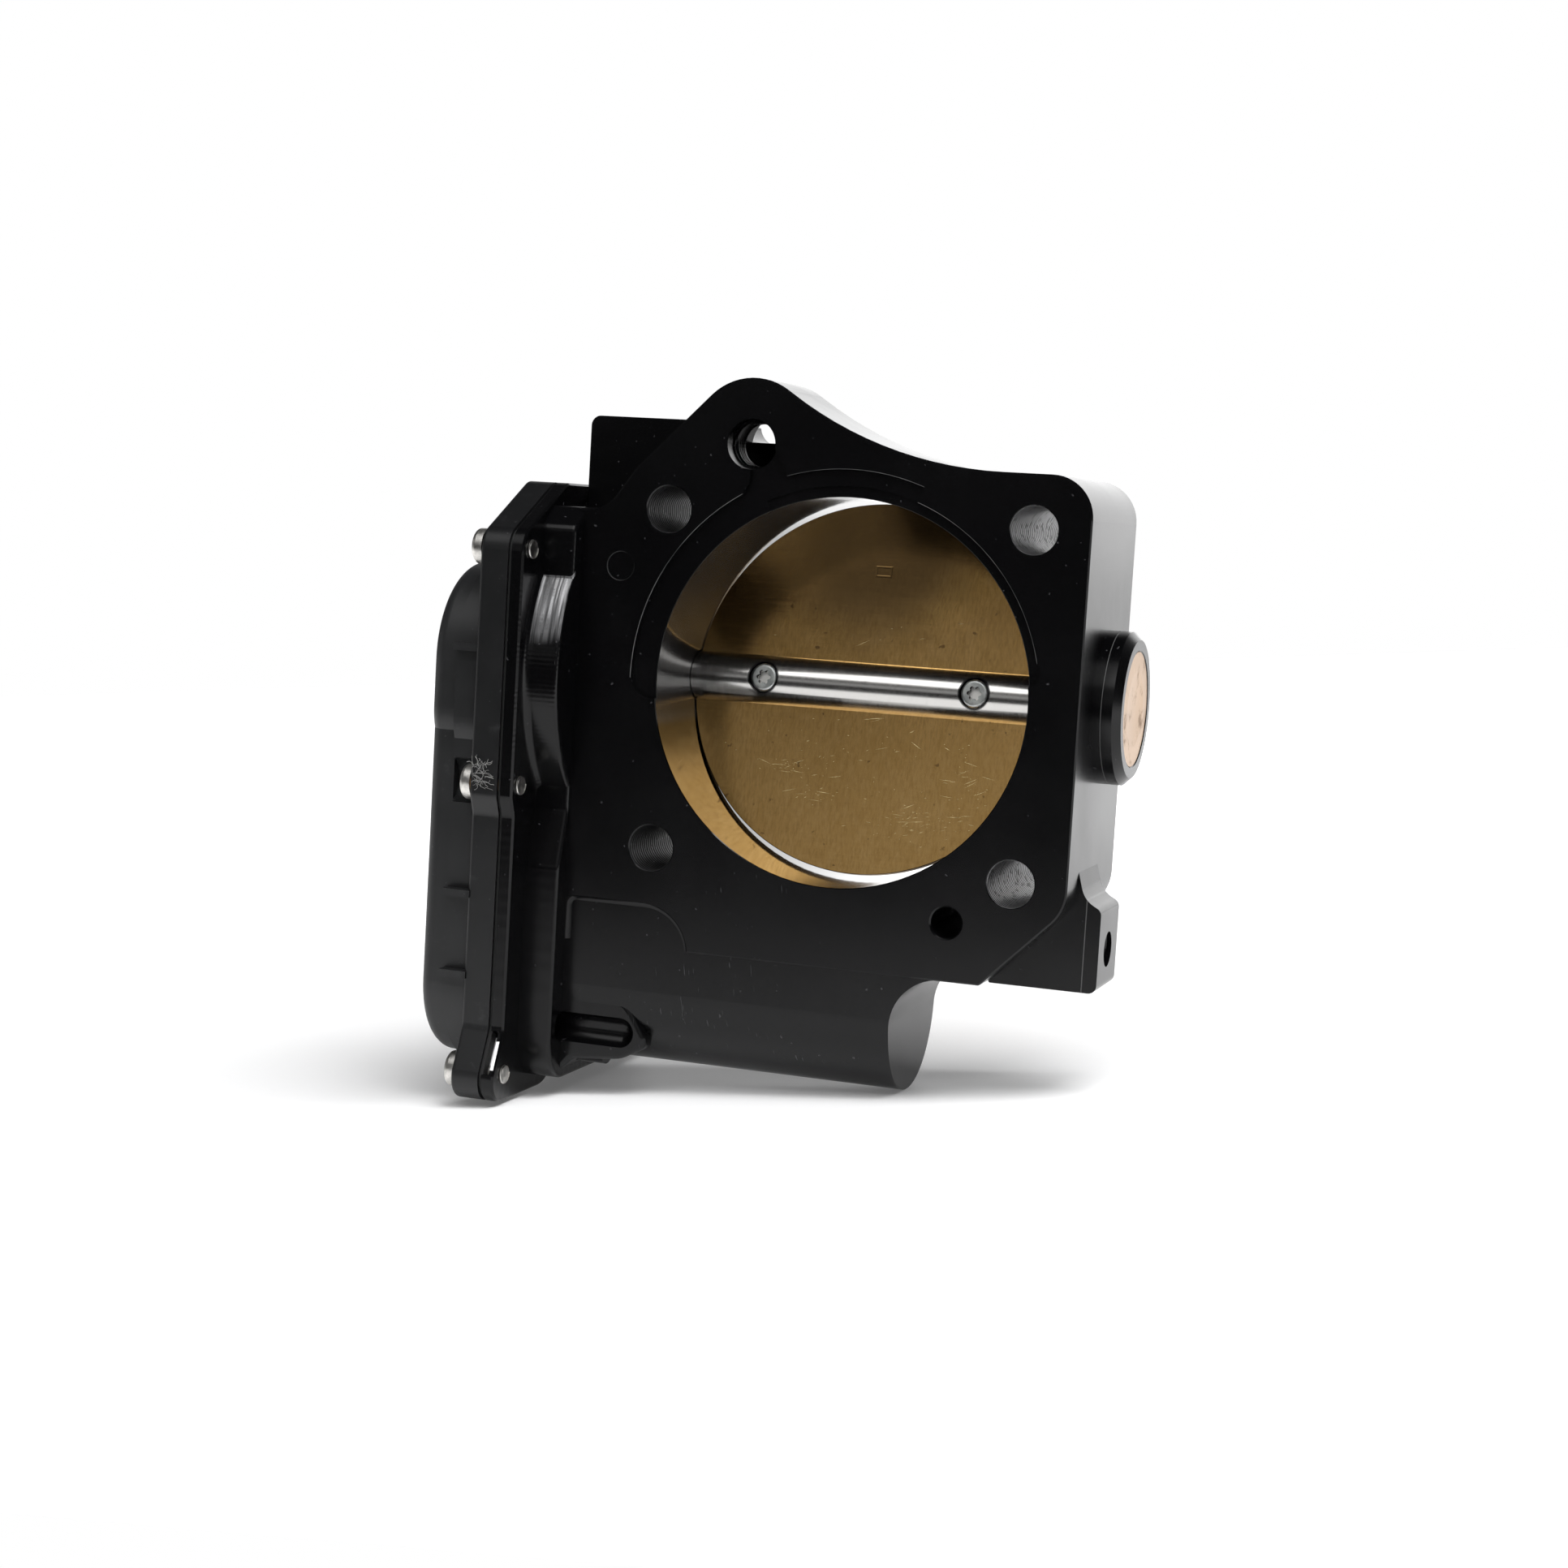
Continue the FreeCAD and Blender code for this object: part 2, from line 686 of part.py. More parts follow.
def bolt_hole_tools():
    """Four through holes for the mounting bolts, each with a small chamfer at both ends."""
    tools = []
    for sign_x in (-1, 1):
        for sign_z in (-1, 1):
            x = sign_x * BOLT_X
            z = sign_z * BOLT_Z
            rim_r = BOLT_HOLE_R + 2 * HOLE_CHAMFER
            back = BODY_DEPTH - HOLE_CHAMFER
            tools.append(y_cylinder(-1.0, BODY_DEPTH + 1.0, x, z, BOLT_HOLE_R))
            tools.append(y_cone(-HOLE_CHAMFER, HOLE_CHAMFER, x, z, rim_r, BOLT_HOLE_R))
            tools.append(y_cone(back, BODY_DEPTH + HOLE_CHAMFER, x, z, BOLT_HOLE_R, rim_r))
    return tools


def small_hole_tools():
    """Ear hole, locating hole, plugged passage, tab hole and rear O-ring groove."""
    ear_mouth = y_cylinder(-1.0, EAR_MOUTH_DEPTH, EAR_X, EAR_Z, EAR_MOUTH_R)
    ear_hole = y_cylinder(-1.0, EAR_DEPTH, EAR_X, EAR_Z, EAR_HOLE_R)
    ear_rear = y_cylinder(EAR_COUNTERBORE_Y, EAR_DEPTH, EAR_X, EAR_Z, EAR_COUNTERBORE_R)
    x, z = LOCATING_HOLE
    rim_r = LOCATING_HOLE_R + 2 * EDGE_CHAMFER
    locating = y_cylinder(-1.0, LOCATING_HOLE_DEPTH, x, z, LOCATING_HOLE_R)
    locating_rim = y_cone(-EDGE_CHAMFER, EDGE_CHAMFER, x, z, rim_r, LOCATING_HOLE_R)
    x, z = PASSAGE_HOLE
    passage = y_cylinder(-1.0, PASSAGE_DEPTH, x, z, PASSAGE_R)
    tab_hole = x_cylinder(40.0, TAB_RIGHT + 1.0, (TAB_FRONT + TAB_BACK) / 2, TAB_HOLE_Z, TAB_HOLE_R)
    floor = BODY_DEPTH - O_RING_GROOVE_DEPTH
    outer = y_cylinder(floor, BODY_DEPTH + 1.0, 0.0, 0.0, O_RING_R + O_RING_GROOVE_HALF)
    inner = y_cylinder(floor - 1.0, BODY_DEPTH + 2.0, 0.0, 0.0, O_RING_R - O_RING_GROOVE_HALF)
    groove = outer.cut(inner)
    return [ear_mouth, ear_hole, ear_rear, locating, locating_rim, passage, tab_hole, groove]


def shaft_line_tools():
    """Bore for the shaft, with its bearing seats, seal seats and plug seat."""
    through = x_cylinder(FLOOR_X - 1.0, BOSS_END + 1.0, SHAFT_Y, 0.0, SHAFT_R + SHAFT_GAP)
    gear_seat = x_cylinder(FLOOR_X - 1.0, GEAR_BEARING_X + BEARING_WIDTH, SHAFT_Y, 0.0, BEARING_R)
    gear_seal_end = GEAR_SEAL_X + SEAL_WIDTH + 0.6
    gear_seal = x_cylinder(GEAR_BEARING_X, gear_seal_end, SHAFT_Y, 0.0, SEAL_R)
    plug_seat = x_cylinder(PLUG_BEARING_X, BOSS_END + 1.0, SHAFT_Y, 0.0, BEARING_R)
    plug_seal = x_cylinder(PLUG_SEAL_X - 0.1, PLUG_BEARING_X + 1.0, SHAFT_Y, 0.0, SEAL_R)
    rim_r = BEARING_R + 2 * EDGE_CHAMFER
    plug_rim = x_cone(BOSS_END - EDGE_CHAMFER, BOSS_END + EDGE_CHAMFER, SHAFT_Y, 0.0, BEARING_R, rim_r)
    return [through, gear_seat, gear_seal, plug_seat, plug_seal, plug_rim]


def case_tools():
    """Inside of the gear case, its tapped holes and the seats in its floor."""
    tools = [case_wall(CASE_WALL, FLANGE_X - 1.0, FLOOR_X)]
    tools.append(x_cylinder(FLANGE_X, MOTOR_BORE_END, MOTOR_Y, MOTOR_Z, MOTOR_BORE_R))
    for y, z in all_cover_screws():
        tools.append(x_cylinder(FLANGE_X - 1.0, FLANGE_INNER_X + 1.0, y, z, COVER_SCREW_R))
    for y, z in motor_screws():
        tools.append(x_cylinder(FLOOR_X - 1.0, MOTOR_SCREW_END + 1.0, y, z, MOTOR_SCREW_R))
    pin_y, pin_z = gear_axis()
    tools.append(x_cylinder(FLOOR_X - 1.0, PIN_ROOT, pin_y, pin_z, PIN_R))
    for y, z in stop_pin_centres():
        tools.append(x_cylinder(FLOOR_X - 1.0, STOP_PIN_ROOT, y, z, STOP_PIN_R))
    tools.append(lever_notch())
    return tools


def lever_notch():
    """Shallow notch in the lower ear's slope, for levering the cover off."""
    slope = math.degrees(math.atan2(LOWER_EAR_Y - WAIST_Y, LOWER_EAR_Z - WAIST_Z))
    half = NOTCH_LENGTH / 2
    notch = box(FLANGE_X - 1.0, FLANGE_X + NOTCH_WIDTH, -3.0, 1.2, -half, half)
    notch.rotate(V(0, 0, 0), X_AXIS, -slope)
    notch.translate(V(0, *NOTCH_CENTRE))
    return notch


def stop_pin_centres():
    """Centres of the closed and wide-open stops, on one circle about the shaft."""
    centres = []
    for degrees in STOP_ANGLES:
        angle = math.radians(degrees)
        centres.append((SHAFT_Y + STOP_CIRCLE_R * math.cos(angle), STOP_CIRCLE_R * math.sin(angle)))
    return centres


def main_housing():
    """Billet housing: body, ear, block, motor housing, gear case, boss and tab in one piece."""
    solids = body_block()
    solids.append(motor_housing())
    solids.append(case_shell())
    solids.append(bearing_boss())
    solids.append(side_tab())
    solids += motor_screw_bosses()
    housing = fuse(solids)
    bore = y_cylinder(-1.0, BODY_DEPTH + 1.0, 0.0, 0.0, BORE_R)
    bore_rim = y_cone(-0.15, 0.15, 0.0, 0.0, BORE_R + 0.3, BORE_R)
    tools = [bore, bore_rim, pocket_tool(), scoop_tool()]
    tools += recess_tools()
    tools += bolt_hole_tools()
    tools += small_hole_tools()
    tools += shaft_line_tools()
    tools += case_tools()
    return cut(housing, tools)


# --- Closures and seals ----------------------------------------------------------------------
def bearing_plug():
    """Pressed disc that closes the bearing boss, slightly dished."""
    disc = x_cylinder(BOSS_END - PLUG_THICK, BOSS_END - 0.15, SHAFT_Y, 0.0, BEARING_R)
    dish_r = 90.0
    dish = Part.makeSphere(dish_r, V(BOSS_END - 0.45 + dish_r, SHAFT_Y, 0.0))
    return disc.cut(dish)


def passage_plug():
    """Flush plug in the front face."""
    x, z = PASSAGE_HOLE
    return y_cylinder(0.1, PASSAGE_DEPTH - 1.0, x, z, PASSAGE_R)


def rear_o_ring():
    """O-ring in the rear face's groove."""
    centre = V(0, BODY_DEPTH - O_RING_GROOVE_DEPTH + O_RING_WIRE_R, 0)
    return Part.makeTorus(O_RING_R, O_RING_WIRE_R, centre, Y_AXIS)


def shaft_seal(x):
    """Lip seal round the shaft, from x along +X."""
    return x_tube(x, x + SEAL_WIDTH, SHAFT_Y, 0.0, SHAFT_R + SEAL_GAP, SEAL_R)


def shaft_seals():
    """Both shaft seals, between each bearing and the bore."""
    return Part.makeCompound([shaft_seal(GEAR_SEAL_X), shaft_seal(PLUG_SEAL_X)])


# --- Ball bearings ---------------------------------------------------------------------------
def bearing_outer_ring(x):
    """Outer ring with its ball groove."""
    ring = x_tube(x, x + BEARING_WIDTH, SHAFT_Y, 0.0, BEARING_OUTER_LAND_R, BEARING_R)
    return ring.cut(ball_groove(x))


def bearing_inner_ring(x):
    """Inner ring with its ball groove."""
    ring = x_tube(x, x + BEARING_WIDTH, SHAFT_Y, 0.0, SHAFT_R, BEARING_INNER_LAND_R)
    return ring.cut(ball_groove(x))


def ball_groove(x):
    middle = V(x + BEARING_WIDTH / 2, SHAFT_Y, 0.0)
    return Part.makeTorus(BALL_CIRCLE_R, BALL_R + RACE_GAP, middle, X_AXIS)


def ball_centres(x):
    """Centres of a bearing's balls."""
    centres = []
    for i in range(BALL_COUNT):
        angle = 2 * math.pi * i / BALL_COUNT
        y = SHAFT_Y + BALL_CIRCLE_R * math.cos(angle)
        centres.append(V(x + BEARING_WIDTH / 2, y, BALL_CIRCLE_R * math.sin(angle)))
    return centres


def bearing_balls(x):
    """All balls of one bearing."""
    return Part.makeCompound([Part.makeSphere(BALL_R, centre) for centre in ball_centres(x)])


def bearing_cage(x):
    """Cage that spaces the balls."""
    middle = x + BEARING_WIDTH / 2
    half_width = 2.3
    half_thick = 0.5
    inner_r = BALL_CIRCLE_R - half_thick
    outer_r = BALL_CIRCLE_R + half_thick
    cage = x_tube(middle - half_width, middle + half_width, SHAFT_Y, 0.0, inner_r, outer_r)
    pockets = []
    for centre in ball_centres(x):
        outward = (centre - V(middle, SHAFT_Y, 0.0)).normalize()
        pockets.append(Part.makeCylinder(BALL_R + 0.15, 4.0, centre - outward * 2.0, outward))
    return cut(cage, pockets)


# --- Throttle shaft assembly -------------------------------------------------------------------
def tilted(shape):
    """Shape built for an upright plate, turned to the rest opening about the shaft."""
    shape.rotate(V(0, SHAFT_Y, 0), X_AXIS, -REST_TILT)
    return shape


def throttle_shaft():
    """Round shaft, slotted for the plate and counterbored for the plate screws."""
    shaft = x_cylinder(SHAFT_LEFT, SHAFT_RIGHT, SHAFT_Y, 0.0, SHAFT_R)
    shaft = shaft.makeChamfer(0.6, edges_where(shaft, lambda p: near(p.x, SHAFT_RIGHT)))
    half = PLATE_THICK / 2
    slot = box(-PLATE_R, PLATE_R, SHAFT_Y - half, SHAFT_Y + half, -10.0, 10.0)
    tools = [slot]
    front = SHAFT_Y - SHAFT_R - 1.0
    back = SHAFT_Y + SHAFT_R + 1.0
    for x in (-PLATE_SCREW_X, PLATE_SCREW_X):
        tools.append(y_cylinder(front, SHAFT_Y - PLATE_SCREW_SEAT, x, 0.0, PLATE_SCREW_HEAD_R + 0.1))
        tools.append(y_cylinder(front, back, x, 0.0, PLATE_SCREW_R))
    for low, high in ((-9.0, -SHAFT_FLAT), (SHAFT_FLAT, 9.0)):
        tools.append(box(SHAFT_LEFT - 1.0, SHAFT_FLAT_RIGHT, front, back, low, high))
    tools.append(x_tube(SHAFT_LEFT - 1.0, INSERT_LEFT, SHAFT_Y, 0.0, SHAFT_THREAD_R, SHAFT_R + 1))
    return tilted(cut(shaft, tools))


def throttle_plate():
    """Round plate with its two screw holes."""
    half = PLATE_THICK / 2
    plate = y_cylinder(SHAFT_Y - half, SHAFT_Y + half, 0.0, 0.0, PLATE_R)
    rims = edges_where(plate, lambda p: near(p.y, SHAFT_Y - half) or near(p.y, SHAFT_Y + half))
    plate = plate.makeChamfer(0.12, rims)
    holes = []
    for x in (-PLATE_SCREW_X, PLATE_SCREW_X):
        holes.append(y_cylinder(SHAFT_Y - 3.0, SHAFT_Y + 3.0, x, 0.0, PLATE_SCREW_R))
    return tilted(cut(plate, holes))


def plate_screws():
    """Two button screws, sunk in the shaft, with six-lobe sockets."""
    screws = []
    seat = SHAFT_Y - PLATE_SCREW_SEAT
    top = seat - PLATE_SCREW_HEAD
    for x in (-PLATE_SCREW_X, PLATE_SCREW_X):
        head = y_cylinder(top, seat, x, 0.0, PLATE_SCREW_HEAD_R)
        rim = edges_where(head, lambda p: near(p.y, top))
        head = head.makeFillet(0.7, rim)
        shank = y_cylinder(seat, SHAFT_Y + 4.6, x, 0.0, PLATE_SCREW_R)
        socket = six_lobe(x, top - 0.3, 0.0, 1.5, 1.5, Y_AXIS)
        screws.append(fuse([head, shank]).cut(socket))
    return tilted(Part.makeCompound(screws))


def sector_first_tooth():
    """Angle of the sector tooth that lies on the line to the intermediate gear."""
    y, z = gear_axis()
    return math.atan2(z, y - SHAFT_Y)


def sector_gear():
    """Moulded sector gear with its hub, stop arm and magnet cup."""
    first_tooth = sector_first_tooth()
    teeth = gear(COARSE_MODULE, SECTOR_TEETH, SECTOR_LEFT, SECTOR_RIGHT, SHAFT_Y, 0.0, first_tooth)
    toothed = teeth.common(shaft_wedge(SECTOR_LOW_ANGLE, SECTOR_HIGH_ANGLE))
    hub = x_cylinder(HUB_LEFT, SECTOR_RIGHT, SHAFT_Y, 0.0, HUB_R)
    arm = x_cylinder(ARM_LEFT, SECTOR_RIGHT, SHAFT_Y, 0.0, ARM_R).common(shaft_wedge(*ARM_ANGLES))
    lightening = x_tube(SECTOR_LEFT - 1.0, SECTOR_LEFT + 1.6, SHAFT_Y, 0.0, HUB_R + 2.0, 24.0)
    body = fuse([toothed.cut(lightening), hub, arm])
    cup = x_cylinder(HUB_LEFT - 1.0, INSERT_LEFT, SHAFT_Y, 0.0, CUP_R)
    bore = x_cylinder(HUB_LEFT - 1.0, SECTOR_RIGHT + 1.0, SHAFT_Y, 0.0, INSERT_R)
    return cut(body, [cup, bore])


def shaft_wedge(low, high):
    """Wedge about the shaft between two angles in degrees, from +Y towards +Z."""
    points = [V(SECTOR_LEFT - 1.0, SHAFT_Y, 0.0)]
    steps = 4
    for i in range(steps + 1):
        angle = math.radians(low + (high - low) * i / steps)
        y = SHAFT_Y + WEDGE_REACH * math.cos(angle)
        points.append(V(SECTOR_LEFT - 1.0, y, WEDGE_REACH * math.sin(angle)))
    points.append(points[0])
    thick = SECTOR_RIGHT - SECTOR_LEFT + 2.0
    return Part.Face(Part.makePolygon(points)).extrude(V(thick, 0, 0))


def sector_insert():
    """Steel insert moulded into the sector gear, flatted to turn with the shaft."""
    insert = x_cylinder(INSERT_LEFT, SECTOR_RIGHT, SHAFT_Y, 0.0, INSERT_R)
    hole = x_cylinder(INSERT_LEFT - 1.0, SECTOR_RIGHT + 1.0, SHAFT_Y, 0.0, SHAFT_R)
    left = INSERT_LEFT - 2.0
    right = SECTOR_RIGHT + 2.0
    flats = box(left, right, SHAFT_Y - 10.0, SHAFT_Y + 10.0, -SHAFT_FLAT, SHAFT_FLAT)
    return tilted(insert.cut(hole.common(flats)))


def shaft_nut():
    """Thin nut that holds the sector gear on the shaft."""
    left = INSERT_LEFT - 1.7
    half_across = 4.5
    nut = x_tube(left, INSERT_LEFT, SHAFT_Y, 0.0, SHAFT_THREAD_R, half_across + 0.6)
    flats = []
    for i in range(6):
        slab = box(left - 1, INSERT_LEFT + 1, SHAFT_Y + half_across, SHAFT_Y + 20, -20, 20)
        slab.rotate(V(0, SHAFT_Y, 0), X_AXIS, 60.0 * i)
        flats.append(slab)
    return tilted(cut(nut, flats))


def sensor_magnets():
    """Two curved magnets in the sector gear's cup."""
    left = HUB_LEFT + 0.2
    ring = x_tube(left, INSERT_LEFT, SHAFT_Y, 0.0, CUP_R - 2.0, CUP_R)
    gap = box(left - 1, INSERT_LEFT + 1, SHAFT_Y - 1.2, SHAFT_Y + 1.2, -20, 20)
    return tilted(ring.cut(gap))


def spring_guide():
    """Plastic sleeve on the shaft that carries the return spring."""
    return x_tube(SECTOR_RIGHT, FLOOR_X - 0.3, SHAFT_Y, 0.0, SHAFT_R, 7.6)


def return_spring():
    """Coiled return spring about the shaft."""
    helix = Part.makeHelix(SPRING_PITCH, SPRING_PITCH * SPRING_TURNS, SPRING_R)
    profile = Part.Wire(Part.Circle(V(SPRING_R, 0, 0), Y_AXIS, SPRING_WIRE_R).toShape())
    coil = Part.Wire(helix).makePipeShell([profile], True, True)
    coil.rotate(V(0, 0, 0), Y_AXIS, 90.0)
    coil.translate(V(SECTOR_RIGHT + 1.0, SHAFT_Y, 0.0))
    return coil


# --- Intermediate gear -------------------------------------------------------------------------
def intermediate_gear():
    """Compound gear: the wheel meets the motor pinion and the small gear meets the sector."""
    y, z = gear_axis()
    to_shaft = math.atan2(-z, SHAFT_Y - y)
    to_motor = math.atan2(MOTOR_Z - z, MOTOR_Y - y)
    half_pitch = math.pi / SMALL_TEETH
    wheel = gear(FINE_MODULE, WHEEL_TEETH, WHEEL_LEFT, WHEEL_RIGHT, y, z, to_motor)
    small = gear(COARSE_MODULE, SMALL_TEETH, SECTOR_LEFT, WHEEL_LEFT, y, z, to_shaft + half_pitch)
    web = x_tube(WHEEL_LEFT - 0.6, WHEEL_LEFT + 1.4, y, z, 9.5, 17.5)
    body = fuse([wheel.cut(web), small])
    return body.cut(x_cylinder(SECTOR_LEFT - 1.0, WHEEL_RIGHT + 1.0, y, z, BUSH_R))


def intermediate_gear_bush():
    """Bronze bush in the intermediate gear."""
    y, z = gear_axis()
    return x_tube(SECTOR_LEFT, WHEEL_RIGHT, y, z, PIN_R + PIN_GAP, BUSH_R)


def intermediate_gear_pin():
    """Fixed steel pin that the intermediate gear turns on."""
    y, z = gear_axis()
    pin = x_cylinder(PIN_LEFT, PIN_ROOT, y, z, PIN_R)
    return pin.makeChamfer(0.4, edges_where(pin, lambda p: near(p.x, PIN_LEFT)))


def stop_pins():
    """Closed and wide-open stops in the case floor."""
    pins = []
    for y, z in stop_pin_centres():
        pins.append(x_cylinder(STOP_PIN_LEFT, STOP_PIN_ROOT, y, z, STOP_PIN_R))
    return Part.makeCompound(pins)


# --- Motor -------------------------------------------------------------------------------------
def motor_can():
    """Drawn steel can with a closed end and a bush cup."""
    can = x_cylinder(MOTOR_CAN_LEFT, MOTOR_CAN_RIGHT, MOTOR_Y, MOTOR_Z, MOTOR_CAN_R)
    end = edges_where(can, lambda p: near(p.x, MOTOR_CAN_RIGHT))
    can = can.makeFillet(0.9, end)
    inner_end = MOTOR_CAN_RIGHT - MOTOR_CAN_END
    inner_r = MOTOR_CAN_R - MOTOR_CAN_WALL
    inside = x_cylinder(MOTOR_CAN_LEFT - 1.0, inner_end, MOTOR_Y, MOTOR_Z, inner_r)
    cup_r = BUSH_CUP_R + BUSH_CUP_WALL
    cup = x_tube(inner_end - BUSH_CUP, inner_end, MOTOR_Y, MOTOR_Z, BUSH_CUP_R, cup_r)
    return fuse([can.cut(inside), cup])


def motor_magnets():
    """Two curved magnets bonded inside the can."""
    left, right = MAGNET_LENGTH
    ring = x_tube(left, right, MOTOR_Y, MOTOR_Z, MAGNET_R, MOTOR_CAN_R - MOTOR_CAN_WALL)
    gap = box(left - 1, right + 1, MOTOR_Y - 3.0, MOTOR_Y + 3.0, MOTOR_Z - 20, MOTOR_Z + 20)
    return ring.cut(gap)


def motor_end_plate():
    """End plate with two screw ears, seated in the case floor."""
    disc = x_cylinder(END_PLATE_LEFT, MOTOR_CAN_LEFT, MOTOR_Y, MOTOR_Z, MOTOR_CAN_R)
    ears = []
    for y, z in motor_screws():
        ear = x_cylinder(END_PLATE_LEFT, FLOOR_X, y, z, 3.2)
        arm = x_cylinder(END_PLATE_LEFT, FLOOR_X, (y + MOTOR_Y) / 2, (z + MOTOR_Z) / 2, 8.6)
        ears += [ear, arm]
    left = END_PLATE_LEFT - 1.0
    right = MOTOR_CAN_LEFT + 1.0
    holes = [x_cylinder(left, right, MOTOR_Y, MOTOR_Z, END_BUSH_R)]
    for y, z in motor_screws():
        holes.append(x_cylinder(left, right, y, z, MOTOR_SCREW_R))
    for offset in TERMINAL_OFFSETS:
        y = MOTOR_Y + offset
        holes.append(box(left, right, y - TERMINAL_HALF, y + TERMINAL_HALF, *TERMINAL_Z))
    return cut(fuse([disc] + ears), holes)


def motor_screw_set():
    """Screws that hold the motor in the case floor."""
    screws = []
    top = END_PLATE_LEFT - 1.8
    for y, z in motor_screws():
        head = x_cylinder(top, END_PLATE_LEFT, y, z, 2.7)
        rim = edges_where(head, lambda p: near(p.x, top))
        shank = x_cylinder(END_PLATE_LEFT, MOTOR_SCREW_END, y, z, MOTOR_SCREW_R)
        screws.append(fuse([head.makeFillet(0.6, rim), shank]))
    return Part.makeCompound(screws)


def motor_bushes():
    """Sintered bushes at both ends of the motor shaft."""
    front = x_tube(END_PLATE_LEFT, MOTOR_CAN_LEFT, MOTOR_Y, MOTOR_Z, MOTOR_BUSH_R, END_BUSH_R)
    rear_end = MOTOR_CAN_RIGHT - MOTOR_CAN_END
    rear = x_tube(rear_end - BUSH_CUP, rear_end, MOTOR_Y, MOTOR_Z, MOTOR_BUSH_R, BUSH_CUP_R)
    return Part.makeCompound([front, rear])


def motor_brushes():
    """Carbon brushes either side of the commutator."""
    brushes = []
    left, right = BRUSH_LENGTH
    for low, high in ((3.95, 8.5), (-8.5, -3.95)):
        brushes.append(box(left, right, MOTOR_Y - BRUSH_HALF, MOTOR_Y + BRUSH_HALF,
                           MOTOR_Z + low, MOTOR_Z + high))
    return Part.makeCompound(brushes)


def brush_holders():
    """Moulded holders that guide the brushes and stand on the end plate."""
    holders = []
    left, right = BRUSH_LENGTH
    front = MOTOR_Y - BRUSH_HALF
    back = MOTOR_Y + BRUSH_HALF
    for low, high in ((5.0, 10.5), (-10.5, -5.0)):
        bottom = MOTOR_Z + low
        top = MOTOR_Z + high
        outer = box(MOTOR_CAN_LEFT, right + 0.7, front - 1.6, back + 1.6, bottom, top)
        slot = box(left, right, front, back, bottom - 1, top + 1)
        holders.append(outer.cut(slot))
    return Part.makeCompound(holders)


def motor_terminals():
    """Two blades that carry current from the cover into the motor."""
    blades = []
    left = END_PLATE_LEFT - 10.0
    right = MOTOR_CAN_LEFT + 1.6
    for offset in TERMINAL_OFFSETS:
        y = MOTOR_Y + offset
        blades.append(box(left, right, y - TERMINAL_HALF, y + TERMINAL_HALF, *TERMINAL_Z))
    return Part.makeCompound(blades)


def motor_wave_washer():
    """Springy washer behind the motor can."""
    return x_tube(MOTOR_CAN_RIGHT + 0.1, MOTOR_BORE_END - 0.1, MOTOR_Y, MOTOR_Z, 8.0, 11.5)


def motor_shaft():
    """Shaft of the motor's rotor."""
    return x_cylinder(-63.4, 6.6, MOTOR_Y, MOTOR_Z, MOTOR_SHAFT_R)


def slot_centres():
    """Centres of the armature's five winding slots."""
    centres = []
    for i in range(SLOT_COUNT):
        angle = 2 * math.pi * i / SLOT_COUNT + 0.3
        y = MOTOR_Y + SLOT_CIRCLE_R * math.cos(angle)
        z = MOTOR_Z + SLOT_CIRCLE_R * math.sin(angle)
        centres.append((y, z, angle))
    return centres


def motor_armature():
    """Laminated armature with five slots."""
    left, right = STACK_LENGTH
    stack = x_tube(left, right, MOTOR_Y, MOTOR_Z, MOTOR_SHAFT_R, STACK_R)
    tools = []
    for y, z, angle in slot_centres():
        tools.append(x_cylinder(left - 1, right + 1, y, z, SLOT_R))
        mouth = box(left - 1, right + 1, MOTOR_Y + SLOT_CIRCLE_R, MOTOR_Y + STACK_R + 1.5,
                    MOTOR_Z - 0.5, MOTOR_Z + 0.5)
        mouth.rotate(V(0, MOTOR_Y, MOTOR_Z), X_AXIS, math.degrees(angle))
        tools.append(mouth)
    return cut(stack, tools)


def motor_windings():
    """Copper windings: bundles in the slots, joined by a ring at each end."""
    left, right = STACK_LENGTH
    bundles = [x_cylinder(left - 2, right + 2, y, z, SLOT_R - 0.1) for y, z, _ in slot_centres()]
    near_end = x_tube(left - WINDING_END, left - 0.6, MOTOR_Y, MOTOR_Z, *WINDING_R)
    far_end = x_tube(right + 0.6, right + WINDING_END, MOTOR_Y, MOTOR_Z, *WINDING_R)
    return fuse([near_end, far_end] + bundles)


def motor_commutator():
    """Commutator with its bar gaps."""
    left = BRUSH_LENGTH[0] - 1.5
    right = BRUSH_LENGTH[1] + 2.1
    ring = x_tube(left, right, MOTOR_Y, MOTOR_Z, MOTOR_SHAFT_R, COMMUTATOR_R)
    gaps = []
    for i in range(SLOT_COUNT):
        gap = box(left - 0.5, right - 1.0, MOTOR_Y + COMMUTATOR_R - 1.0, MOTOR_Y + COMMUTATOR_R + 1.0,
                  MOTOR_Z - 0.15, MOTOR_Z + 0.15)
        gap.rotate(V(0, MOTOR_Y, MOTOR_Z), X_AXIS, 360.0 * (i + 0.5) / SLOT_COUNT)
        gaps.append(gap)
    return cut(ring, gaps)


def motor_pinion():
    """Brass pinion on the motor shaft."""
    y, z = gear_axis()
    to_gear = math.atan2(z - MOTOR_Z, y - MOTOR_Y)
    half_pitch = math.pi / PINION_TEETH
    left = WHEEL_LEFT - 0.5
    right = WHEEL_RIGHT + 0.2
    pinion = gear(FINE_MODULE, PINION_TEETH, left, right, MOTOR_Y, MOTOR_Z, to_gear + half_pitch)
    return pinion.cut(x_cylinder(left - 1.0, right + 1.0, MOTOR_Y, MOTOR_Z, MOTOR_SHAFT_R))


